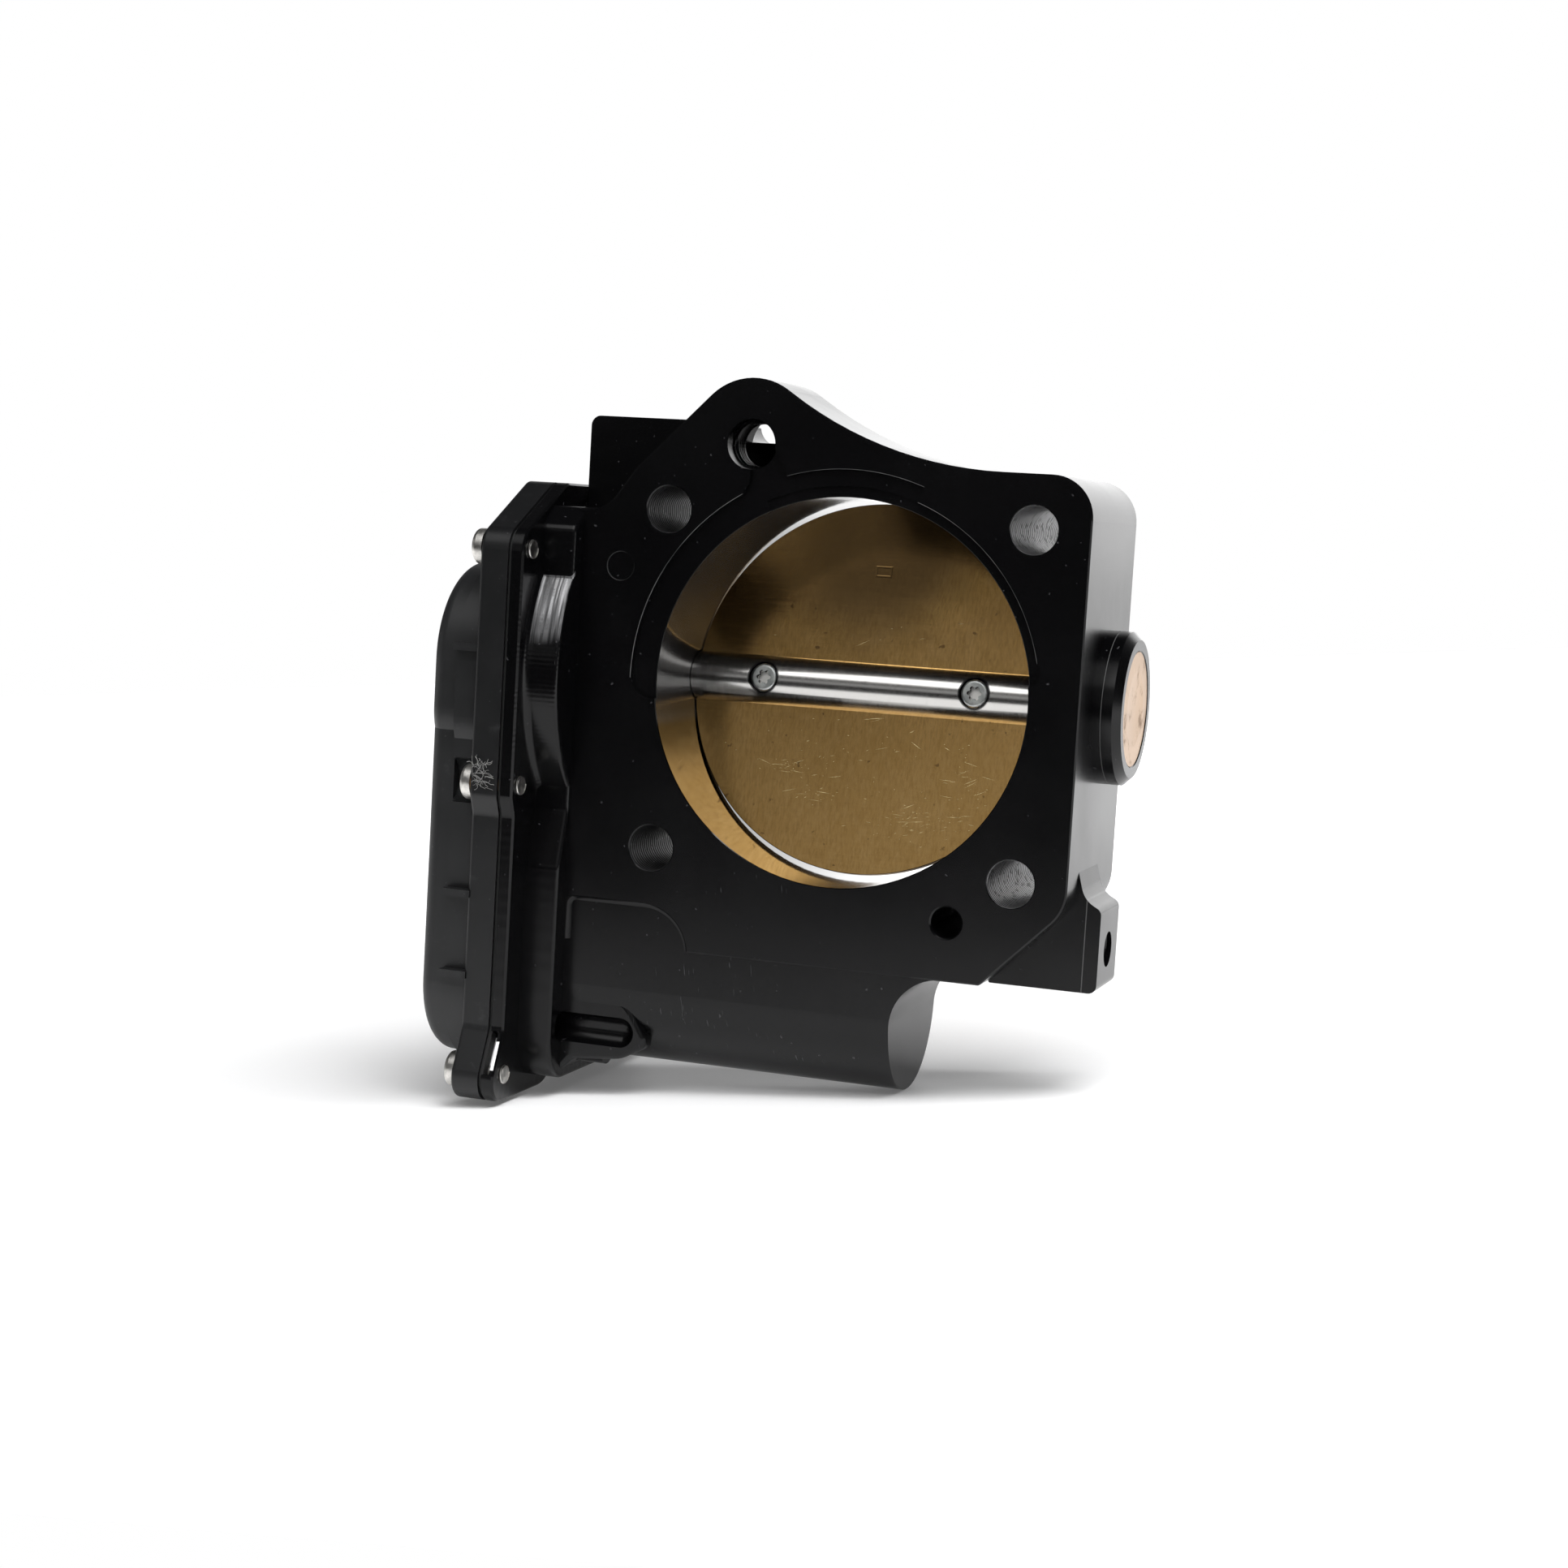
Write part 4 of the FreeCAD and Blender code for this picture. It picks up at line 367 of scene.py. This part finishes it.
def brass_plate():
    """Rolled brass: finely grained and lightly spotted, with painted shade, dark brown, near its top."""
    g = Graph("brass_plate")
    mottle = g.noise(60.0, 6.0, 0.7)
    grain = g.noise(1.0, 4.0, 0.7, g.scaled((2600.0, 2600.0, 160.0)))
    cross = g.noise(1.0, 3.0, 0.6, g.scaled((120.0, 2600.0, 2600.0)))
    tone = g.mix(g.ramp(mottle, 0.3, 0.75), (0.66, 0.40, 0.135), (0.76, 0.475, 0.175))
    tone = g.mix(g.times(g.ramp(grain, 0.40, 0.70), 0.55), tone, (0.50, 0.28, 0.085))
    rolled = g.noise(1.0, 4.0, 0.7, g.scaled((1000.0, 1000.0, 260.0)))
    tone = g.mix(g.times(g.ramp(rolled, 0.42, 0.70), 0.18), tone, (0.96, 0.66, 0.30))
    # Painted shade: dark brown towards the plate's top.
    from_top = g.distance(g.x, -2.0 * MM, g.z, 27.0 * MM)
    tone = g.mix(g.ramp(from_top, 24.0 * MM, 9.0 * MM, 0.0, 0.70), tone, (0.20, 0.125, 0.055))
    spots = g.ramp(g.noise(620.0, 2.0, 0.5), 0.70, 0.76)
    tone = g.mix(g.times(spots, 0.6), tone, (0.16, 0.08, 0.03))
    g.set(colour=tone, metallic=1.0)
    g.set(roughness=g.ramp(g.add(mottle, cross), 0.7, 1.4, 0.16, 0.22))
    height = g.times(g.add(grain, cross), 0.0010)
    g.bump(g.add(height, g.times(plate_stamp(g), -0.05)))
    return g.material


def scratched_brass():
    """Freshly bared brass in a scratch: bright and rough, so that it glints."""
    g = Graph("scratched_brass")
    sparkle = g.noise(2400.0, 2.0)
    g.set(colour=g.mix(sparkle, (0.90, 0.70, 0.32), (1.0, 0.86, 0.52)), metallic=1.0)
    g.set(roughness=g.ramp(sparkle, 0.3, 0.7, 0.45, 0.60))
    return g.material


def plate_stamp(g):
    """Outline of a small plain rounded mark, high on the plate."""
    half_wide = 1.5 * MM
    half_tall = 0.9 * MM
    across = g.math("ABSOLUTE", g.math("SUBTRACT", g.x, -0.5 * MM))
    upward = g.math("ABSOLUTE", g.math("SUBTRACT", g.z, 23.0 * MM))
    outside = g.math("MAXIMUM", g.math("SUBTRACT", across, half_wide), g.math("SUBTRACT", upward, half_tall))
    return g.ramp(g.math("ABSOLUTE", outside), 0.12 * MM, 0.22 * MM, 1.0, 0.0)


def plate_axes(g):
    """Coordinates out of the plate and up it, from the shaft's axis at the rest opening."""
    from_shaft = g.math("SUBTRACT", g.y, SHAFT_Y)
    sine = math.sin(REST_TILT)
    cosine = math.cos(REST_TILT)
    outward = g.add(g.times(from_shaft, -cosine), g.times(g.z, sine))
    upward = g.add(g.times(from_shaft, sine), g.times(g.z, cosine))
    return outward, upward


def from_plate_screw(g):
    """Distance from the nearer plate screw's axis."""
    upward = plate_axes(g)[1]
    return g.distance(g.math("ABSOLUTE", g.x), PLATE_SCREW_X, upward, 0.0)


def ground_steel(name="ground_steel", colour=(0.62, 0.61, 0.59), low=0.17, high=0.25):
    """Round steel ground across its axis, with painted shade in the gap round each plate screw."""
    g = Graph(name)
    grind = g.noise(1.0, 4.0, 0.6, g.scaled((5200.0, 60.0, 60.0)))
    stain = g.ramp(g.noise(260.0, 4.0, 0.7), 0.6, 0.75)
    darker = tuple(0.72 * c for c in colour)
    # Painted shade in the gap round each plate screw.
    gap = g.ramp(from_plate_screw(g), 3.05 * MM, 3.35 * MM, 1.0, 0.0)
    tone = g.mix(g.times(stain, 0.5), colour, darker)
    g.set(colour=g.mix(gap, tone, (0.03, 0.03, 0.03)), metallic=1.0)
    g.set(roughness=g.ramp(grind, 0.3, 0.7, low, high))
    g.bump(g.times(grind, 0.0022))
    return g.material


def plated_metal(name, colour, low, high, bump_mm=0.004):
    """Plated or plain metal with cloudy tone and a light grain."""
    g = Graph(name)
    cloud = g.noise(520.0, 4.0, 0.6)
    darker = tuple(0.6 * c for c in colour)
    g.set(colour=g.mix(g.ramp(cloud, 0.35, 0.7), darker, colour), metallic=1.0)
    g.set(roughness=g.ramp(cloud, 0.3, 0.7, low, high))
    g.bump(g.times(g.noise(2600.0, 3.0), bump_mm))
    return g.material


def socketed_zinc():
    """Zinc-plated plate screws, with painted highlights on the rims and the socket floors, and painted shade
    on the six-lobe sockets' walls.
    """
    g = Graph("socketed_zinc")
    cloud = g.noise(520.0, 4.0, 0.6)
    outward = plate_axes(g)[0]
    radius = from_plate_screw(g)
    wall = g.times(g.math("LESS_THAN", radius, SOCKET_R), g.math("LESS_THAN", outward, SOCKET_TOP))
    floor = g.times(wall, g.math("LESS_THAN", outward, SOCKET_FLOOR))
    # Painted highlight round the head's rim.
    rim = g.ramp(radius, PLATE_SCREW_R - 0.4 * MM, PLATE_SCREW_R)
    tone = g.mix(g.ramp(cloud, 0.35, 0.7), (0.40, 0.42, 0.41), (0.58, 0.60, 0.58))
    tone = g.mix(rim, tone, (0.90, 0.92, 0.90))
    # Painted shade on the socket walls, then a painted highlight on the socket floors.
    tone = g.mix(wall, tone, (0.010, 0.010, 0.010))
    tone = g.mix(floor, tone, (0.95, 0.94, 0.90))
    g.set(colour=tone, metallic=1.0)
    g.set(roughness=g.ramp(cloud, 0.3, 0.7, 0.34, 0.46))
    g.bump(g.times(g.noise(2600.0, 3.0), 0.004))
    return g.material


def bronze_plug():
    """Matt bronze disc with brown smudges and fine marks."""
    g = Graph("bronze_plug")
    smudge = g.ramp(g.noise(210.0, 5.0, 0.7), 0.50, 0.70)
    tone = g.mix(smudge, (0.47, 0.315, 0.195), (0.27, 0.17, 0.10))
    streak = g.noise(1.0, 2.0, 0.4, g.scaled((60.0, 5200.0, 420.0), (0.6, 0.0, 0.0)))
    marks = g.ramp(streak, 0.68, 0.76)
    g.set(colour=g.mix(g.times(marks, 0.5), tone, (0.95, 0.68, 0.45)), metallic=1.0)
    g.set(roughness=g.ramp(smudge, 0.0, 1.0, 0.34, 0.5))
    g.bump(g.times(g.noise(1500.0, 3.0), 0.006))
    return g.material


def cover_plastic():
    """Glass-filled black plastic: a satin dome above a flange darkened with painted shade, with dust and
    faint scuffs.
    """
    g = Graph("cover_plastic")
    cloud = g.noise(45.0, 4.0)
    # Painted shade: the flange darker than the dome.
    flange = g.ramp(g.x, FLANGE_X - COVER_FLANGE, FLANGE_X - COVER_FLANGE + 0.8 * MM)
    tone = g.mix(flange, (0.0115, 0.0118, 0.0125), (0.0040, 0.0042, 0.0047))
    scuffs = g.times(g.ramp(g.noise(240.0, 4.0, 0.7), 0.60, 0.75), 0.30)
    dust = g.ramp(g.noise(1400.0, 1.0, 0.4), 0.76, 0.81)
    tone = g.mix(g.math("MAXIMUM", scuffs, g.times(dust, 0.8)), tone, (0.045, 0.045, 0.047))
    g.set(colour=tone)
    g.set(roughness=g.ramp(cloud, 0.3, 0.7, 0.34, 0.46))
    g.bump(g.times(g.noise(2100.0, 2.0), 0.008))
    return g.material


def moulded_plastic(name, colour, roughness=0.42, grain_mm=0.010):
    """Moulded plastic with a fine grain and faint flow clouds."""
    g = Graph(name)
    cloud = g.noise(45.0, 4.0)
    lighter = tuple(min(1.0, 1.5 * c) for c in colour)
    g.set(colour=g.mix(g.ramp(cloud, 0.3, 0.75), colour, lighter))
    g.set(roughness=g.ramp(cloud, 0.3, 0.7, roughness - 0.05, roughness + 0.07))
    g.bump(g.times(g.noise(2100.0, 2.0), grain_mm))
    return g.material


def soft_rubber(name="black_rubber"):
    """Matt black rubber."""
    g = Graph(name)
    cloud = g.noise(300.0, 4.0)
    g.set(colour=g.mix(cloud, (0.008, 0.008, 0.008), (0.022, 0.022, 0.022)))
    g.set(roughness=g.ramp(cloud, 0.3, 0.7, 0.6, 0.8))
    g.bump(g.times(g.noise(1500.0, 3.0), 0.02))
    return g.material


def wound_copper():
    """Enamelled copper wire laid along the motor's axis."""
    g = Graph("wound_copper")
    wires = g.math("SINE", g.times(g.distance(g.y, MOTOR_Y, g.z, MOTOR_Z), TURN / WIRE_PITCH))
    g.set(colour=g.mix(g.ramp(wires, -1.0, 1.0), (0.28, 0.09, 0.03), (0.75, 0.32, 0.14)), metallic=1.0)
    g.set(roughness=g.ramp(wires, -1.0, 1.0, 0.42, 0.25))
    g.bump(g.times(wires, 0.08))
    return g.material


def laminated_steel():
    """Stack of thin steel laminations along X."""
    g = Graph("laminated_steel")
    layers = g.math("SINE", g.times(g.x, TURN / LAMINATION_PITCH))
    g.set(colour=g.mix(g.ramp(layers, -1.0, -0.6), (0.03, 0.03, 0.03), (0.30, 0.30, 0.31)), metallic=1.0)
    g.set(roughness=g.ramp(g.noise(400.0), 0.3, 0.7, 0.35, 0.5))
    g.bump(g.times(layers, 0.02))
    return g.material


def circuit_board():
    """Green board with fine copper tracks under the lacquer."""
    g = Graph("circuit_board")
    rows = g.math("SINE", g.times(g.y, TURN / TRACK_PITCH))
    tracks = g.ramp(g.times(rows, g.ramp(g.noise(260.0, 0.0), 0.45, 0.5)), 0.55, 0.7)
    g.set(colour=g.mix(tracks, (0.012, 0.09, 0.035), (0.05, 0.22, 0.09)))
    g.set(roughness=g.ramp(g.noise(300.0), 0.3, 0.7, 0.22, 0.32))
    g.bump(g.times(tracks, 0.03))
    return g.material


def make_materials():
    """One finished material for each of the record's slots."""
    return {
        "black_anodised": anodised_black(),
        "bronze_plug": bronze_plug(),
        "plate_brass": brass_plate(),
        "shaft_steel": ground_steel(),
        "zinc_screw": plated_metal("zinc_screw", (0.90, 0.91, 0.88), 0.42, 0.52),
        "pan_screw": plated_metal("pan_screw", (0.84, 0.82, 0.78), 0.30, 0.44, 0.014),
        "bearing_steel": ground_steel("bearing_steel", (0.72, 0.72, 0.72), 0.06, 0.12),
        "nylon_natural": moulded_plastic("nylon_natural", (0.52, 0.46, 0.33), 0.38, 0.004),
        "nylon_dark": moulded_plastic("nylon_dark", (0.02, 0.02, 0.021), 0.40, 0.006),
        "black_rubber": soft_rubber(),
        "gasket": soft_rubber("gasket_sheet"),
        "cover_plastic": cover_plastic(),
        "spring_steel": ground_steel("spring_steel", (0.42, 0.42, 0.43), 0.22, 0.32),
        "bronze": plated_metal("sintered_bronze", (0.60, 0.38, 0.20), 0.40, 0.55, 0.02),
        "brass_pinion": plated_metal("machined_brass", (0.78, 0.58, 0.25), 0.18, 0.28),
        "plated_can": plated_metal("plated_can", (0.66, 0.66, 0.64), 0.24, 0.36),
        "ferrite": moulded_plastic("ferrite", (0.035, 0.035, 0.036), 0.55, 0.02),
        "laminations": laminated_steel(),
        "copper": wound_copper(),
        "carbon": moulded_plastic("carbon", (0.02, 0.02, 0.021), 0.5, 0.02),
        "tin_plate": plated_metal("tin_plate", (0.80, 0.79, 0.75), 0.18, 0.28),
        "board": circuit_board(),
        "chip": moulded_plastic("chip", (0.012, 0.012, 0.012), 0.35, 0.004),
        "film": moulded_plastic("film", (0.30, 0.30, 0.29), 0.35, 0.004),
        "scratch": scratched_brass(),
        "zinc_socket": socketed_zinc(),
    }


def dress_cad_nodes(materials):
    """Gives every CAD node the finished material of its slot."""
    slots = {item["node"]: item["material_slot"] for item in frame["record"]["subparts"]}
    slots["plate_screws"] = "zinc_socket"
    for name, node in frame["nodes"].items():
        node.data.materials.clear()
        node.data.materials.append(materials[slots[name]])


# --- Detail pieces ---------------------------------------------------------------------------
def mesh_piece(name, points, faces, material, body="housing", smooth=True):
    """New piece from points and faces, riding on a body."""
    mesh = bpy.data.meshes.new(name)
    mesh.from_pydata(points, [], faces)
    mesh.update()
    mesh.materials.append(material)
    for polygon in mesh.polygons:
        polygon.use_smooth = smooth
    piece = bpy.data.objects.new(name, mesh)
    bpy.context.scene.collection.objects.link(piece)
    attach(piece, body)


def thread_ridge(name, start, axis, length, pitch, base_r, crest_r, material):
    """Helical thread ridge about an axis, from base_r to crest_r."""
    axis = Vector(axis).normalized()
    side = axis.orthogonal().normalized()
    other = axis.cross(side)
    steps = 48
    rings = int(length / pitch * steps)
    profile = ((-0.44, base_r), (-0.08, crest_r), (0.08, crest_r), (0.44, base_r))
    points = []
    for i in range(rings + 1):
        angle = TURN * i / steps
        fade = min(1.0, i / (steps * 0.6), (rings - i) / (steps * 0.6))
        along = pitch * i / steps
        for offset, radius in profile:
            radius = base_r + (radius - base_r) * fade
            direction = side * math.cos(angle) + other * math.sin(angle)
            points.append(Vector(start) + axis * (along + offset * pitch) + direction * radius)
    count = len(profile)
    faces = []
    for i in range(rings):
        for j in range(count - 1):
            a = i * count + j
            faces.append((a, a + 1, a + 1 + count, a + count))
    mesh_piece(name, points, faces, material, smooth=False)


def hole_threads(materials):
    """Threads in the ear's and the tab's tapped holes."""
    black = materials["black_anodised"]
    ear = Vector(MOUNTS["ear_thread"]["pos_m"])
    ear_r = MOUNTS["ear_thread"]["dims"]["r_mm"] * MM
    thread_ridge("ear_hole_thread", (ear.x, 4.0 * MM, ear.z), (0, 1, 0), 4.9 * MM, 1.0 * MM,
                 ear_r, ear_r - 0.4 * MM, black)
    tab = Vector(MOUNTS["tab_thread"]["pos_m"])
    tab_r = MOUNTS["tab_thread"]["dims"]["r_mm"] * MM
    thread_ridge("tab_hole_thread", (41.5 * MM, tab.y, tab.z), (1, 0, 0), 9.0 * MM, 1.25 * MM,
                 tab_r, tab_r - 0.45 * MM, black)


def screw_tip_threads(materials):
    """Threads on the cover screws' tips, where they show behind the case flange."""
    for number, (y, z) in enumerate(COVER_SCREWS):
        name = "cover_screw_thread_%d" % number
        start = (SCREW_TIPS_X - 1.0 * MM, y * MM, z * MM)
        thread_ridge(name, start, (1, 0, 0), 0.95 * MM, 0.5 * MM, COVER_SCREW_R - 0.02 * MM,
                     COVER_SCREW_R + 0.16 * MM, materials["pan_screw"])


def plate_scratches(materials):
    """Short straight scratches on the plate's front, in a few loose clusters low down."""
    chance = random.Random(11)
    normal = Vector((0.0, -math.cos(REST_TILT), math.sin(REST_TILT)))
    upward = Vector((0.0, math.sin(REST_TILT), math.cos(REST_TILT)))
    face = Vector((0.0, SHAFT_Y, 0.0)) + normal * (PLATE_HALF_THICK + 0.004 * MM)
    clusters = ((-16.0, -17.0, 5.0, 2.0, 34), (-9.0, -22.0, 5.0, 2.0, 20), (12.0, -26.0, 10.0, 4.0, 60),
                (21.0, -17.0, 5.0, 8.0, 36), (0.0, -15.0, 26.0, 14.0, 60), (12.0, 14.0, 16.0, 8.0, 6),
                (-8.0, 9.0, 14.0, 5.0, 3))
    points = []
    faces = []
    for across, high, wide, tall, count in clusters:
        lean = chance.uniform(-0.05, 0.2)
        for _ in range(count):
            x = chance.gauss(across, wide * 0.5)
            z = chance.gauss(high, tall * 0.5)
            if math.hypot(x, z) > 35.0 or abs(z) < 5.6:
                continue
            angle = chance.gauss(lean, 0.28)
            half_long = Vector((math.cos(angle), 0.0, 0.0)) + upward * math.sin(angle)
            half_wide = normal.cross(half_long) * chance.uniform(0.02, 0.06) * MM
            half_long = half_long * chance.choice((0.10, 0.12, 0.2, 0.3, 0.6, 1.5)) * MM
            centre = face + Vector((x, 0.0, 0.0)) * MM + upward * z * MM
            first = len(points)
            points += [centre - half_long, centre - half_wide, centre + half_long, centre + half_wide]
            faces.append((first, first + 1, first + 2, first + 3))
    mesh_piece("plate_scratch_marks", points, faces, materials["scratch"],
               body="throttle", smooth=False)


def surface_y(node, place):
    """Y of a node's front surface at a place, or the place's own Y beyond its edge."""
    hit, spot, _, _ = node.ray_cast(Vector((place.x, -0.1, place.z)), Vector((0.0, 1.0, 0.0)))
    edge = node.bound_box[0][1]
    if hit and spot.y < edge + 4.0 * MM:
        return spot.y
    return place.y


def torn_film(materials):
    """Shreds of thin clear film left on the cover's edge beside the middle screw."""
    chance = random.Random(7)
    cover = frame["nodes"]["gear_cover"]
    points = []
    faces = []
    for _ in range(46):
        here = Vector((chance.uniform(-69.2, -66.0), 0.0, chance.uniform(-22.8, -18.2))) * MM
        here.y = surface_y(cover, here) - chance.uniform(0.02, 0.08) * MM
        heading = chance.uniform(-0.6, 2.4)
        thick = chance.uniform(0.025, 0.06) * MM
        for joint in range(7):
            side = Vector((-math.sin(heading), 0.0, math.cos(heading))) * thick
            lift = Vector((0.0, -thick, 0.0))
            points += [here + side, here - side, here + lift]
            if joint:
                a = len(points) - 6
                faces.append((a, a + 2, a + 5, a + 3))
                faces.append((a + 2, a + 1, a + 4, a + 5))
                faces.append((a + 1, a, a + 3, a + 4))
            here = here + Vector((math.cos(heading), 0.0, math.sin(heading))) * 0.32 * MM
            here.y = surface_y(cover, here) - chance.uniform(0.02, 0.22) * MM
            heading += chance.uniform(-0.7, 0.7)
    mesh_piece("torn_film", points, faces, materials["film"])


# --- Studio ----------------------------------------------------------------------------------
def make_floor():
    """Plain pale floor under the case's lower ear and the motor housing's end."""
    along = Vector((math.cos(FLOOR_TILT), 0.0, math.sin(FLOOR_TILT)))
    corners = []
    plan = ((-FLOOR_X, FLOOR_FRONT), (FLOOR_X, FLOOR_FRONT), (FLOOR_X, FLOOR_BACK), (-FLOOR_X, FLOOR_BACK))
    for x, y in plan:
        corners.append(FLOOR_TOUCH + along * x + Vector((0.0, y, 0.0)))
    mesh = bpy.data.meshes.new("floor")
    mesh.from_pydata(corners, [], [(0, 1, 2, 3)])
    floor = bpy.data.objects.new("floor", mesh)
    bpy.context.scene.collection.objects.link(floor)
    g = Graph("pale_floor")
    paper = g.noise(900.0, 3.0)
    g.set(colour=g.mix(paper, (0.86, 0.86, 0.865), (0.90, 0.90, 0.905)))
    g.set(roughness=g.ramp(paper, 0.3, 0.7, 0.6, 0.7))
    g.bump(g.times(paper, 0.02))
    # Painted light: the floor glows, at a tenth within 0.12 m of the object and fully beyond 0.6 m, so it is
    # darker round the object.
    g.shader.inputs["Emission Color"].default_value = (1.0, 1.0, 1.0, 1.0)
    away = g.distance(g.x, 0.0, g.y, 0.0)
    g.put(g.shader.inputs["Emission Strength"], g.ramp(away, 0.12, 0.6, 0.10, 1.0))
    mesh.materials.append(g.material)


def make_world():
    """Plain white where seen directly; for lighting, bright behind and dim in front."""
    world = bpy.data.worlds.new("studio")
    bpy.context.scene.world = world
    world.use_nodes = True
    tree = world.node_tree
    background = tree.nodes["Background"]
    coordinates = tree.nodes.new("ShaderNodeTexCoord")
    split = tree.nodes.new("ShaderNodeSeparateXYZ")
    tree.links.new(coordinates.outputs["Generated"], split.inputs[0])
    x, y, z = split.outputs

    def calculate(operation, first, second):
        """One step of arithmetic."""
        node = tree.nodes.new("ShaderNodeMath")
        node.operation = operation
        for socket, value in zip(node.inputs, (first, second)):
            if isinstance(value, bpy.types.NodeSocket):
                tree.links.new(value, socket)
            else:
                socket.default_value = value
        return node.outputs[0]

    def step(value, low, high, out_low, out_high):
        """Smooth step of a direction's value from low to high."""
        node = tree.nodes.new("ShaderNodeMapRange")
        node.interpolation_type = "SMOOTHSTEP"
        tree.links.new(value, node.inputs["Value"])
        for socket, item in zip(node.inputs[1:5], (low, high, out_low, out_high)):
            socket.default_value = item
        return node.outputs[0]

    behind = calculate("MULTIPLY", step(y, 0.15, 0.8, 0.0, LIGHT_BEHIND), step(z, 0.35, 0.75, 1.0, 0.0))
    behind = calculate("MULTIPLY", behind, step(x, 0.27, 0.36, 1.0, 0.15))
    behind = calculate("MULTIPLY", behind, step(x, -0.42, -0.32, 0.12, 1.0))
    card_top = calculate("ADD", z, calculate("MULTIPLY", x, -0.67))
    card = calculate("MULTIPLY", step(z, 0.07, 0.15, 0.0, LIGHT_CARD), step(card_top, 0.475, 0.51, 1.0, 0.23))
    card = calculate("MULTIPLY", card, step(y, -0.45, -0.65, 0.0, 1.0))
    side = calculate("MULTIPLY", step(x, -0.75, -0.95, 0.0, LIGHT_SIDE), step(y, 0.1, -0.2, 0.0, 1.0))
    light = calculate("ADD", calculate("ADD", behind, card), calculate("ADD", side, LIGHT_ROOM))
    path = tree.nodes.new("ShaderNodeLightPath")
    seen = tree.nodes.new("ShaderNodeMix")
    seen.data_type = "FLOAT"
    tree.links.new(path.outputs["Is Camera Ray"], seen.inputs["Factor"])
    tree.links.new(light, seen.inputs["A"])
    seen.inputs["B"].default_value = 1.0
    tree.links.new(seen.outputs["Result"], background.inputs["Strength"])
    background.inputs["Color"].default_value = (1.0, 1.0, 1.0, 1.0)


def softbox(name, toward, distance, width, height, power, glossy=True):
    """Area light in a direction from the object, facing it."""
    light = bpy.data.lights.new(name, "AREA")
    light.shape = "RECTANGLE"
    light.size = width
    light.size_y = height
    light.energy = power
    lamp = bpy.data.objects.new(name, light)
    bpy.context.scene.collection.objects.link(lamp)
    direction = Vector(toward).normalized()
    lamp.location = direction * distance
    lamp.rotation_euler = direction.to_track_quat("Z", "Y").to_euler()
    lamp.visible_glossy = glossy


def make_lights():
    """A large softbox high in front, and a diffuse panel overhead."""
    softbox("key", (0.0, -0.58, 0.80), 0.9, 0.9, 0.6, 4.2)
    softbox("overhead", (0.30, -0.15, 1.0), 1.0, 0.7, 0.7, 13.0, glossy=False)


def make_camera():
    """Camera at the photograph's place, a little right of the bore's axis and tilted."""
    camera = bpy.data.cameras.new("camera")
    camera.lens = LENS_MM
    camera.sensor_width = SENSOR_MM
    camera.clip_start = 0.01
    holder = bpy.data.objects.new("camera", camera)
    bpy.context.scene.collection.objects.link(holder)
    level = Vector((math.cos(CAMERA_AZIMUTH), math.sin(CAMERA_AZIMUTH), 0.0))
    outward = Vector((math.sin(CAMERA_AZIMUTH), -math.cos(CAMERA_AZIMUTH), 0.0))
    back = outward * math.cos(CAMERA_ELEVATION) + Vector((0.0, 0.0, math.sin(CAMERA_ELEVATION)))
    above = back.cross(level)
    right = level * math.cos(CAMERA_ROLL) + above * math.sin(CAMERA_ROLL)
    up = above * math.cos(CAMERA_ROLL) - level * math.sin(CAMERA_ROLL)
    turn = Matrix((right, up, back)).transposed()
    holder.matrix_world = Matrix.Translation(CAMERA_AT) @ turn.to_4x4()
    bpy.context.scene.camera = holder


materials = make_materials()
dress_cad_nodes(materials)
hole_threads(materials)
screw_tip_threads(materials)
plate_scratches(materials)
torn_film(materials)
make_floor()
make_world()
make_lights()
make_camera()
bpy.context.scene.view_settings.view_transform = "Standard"
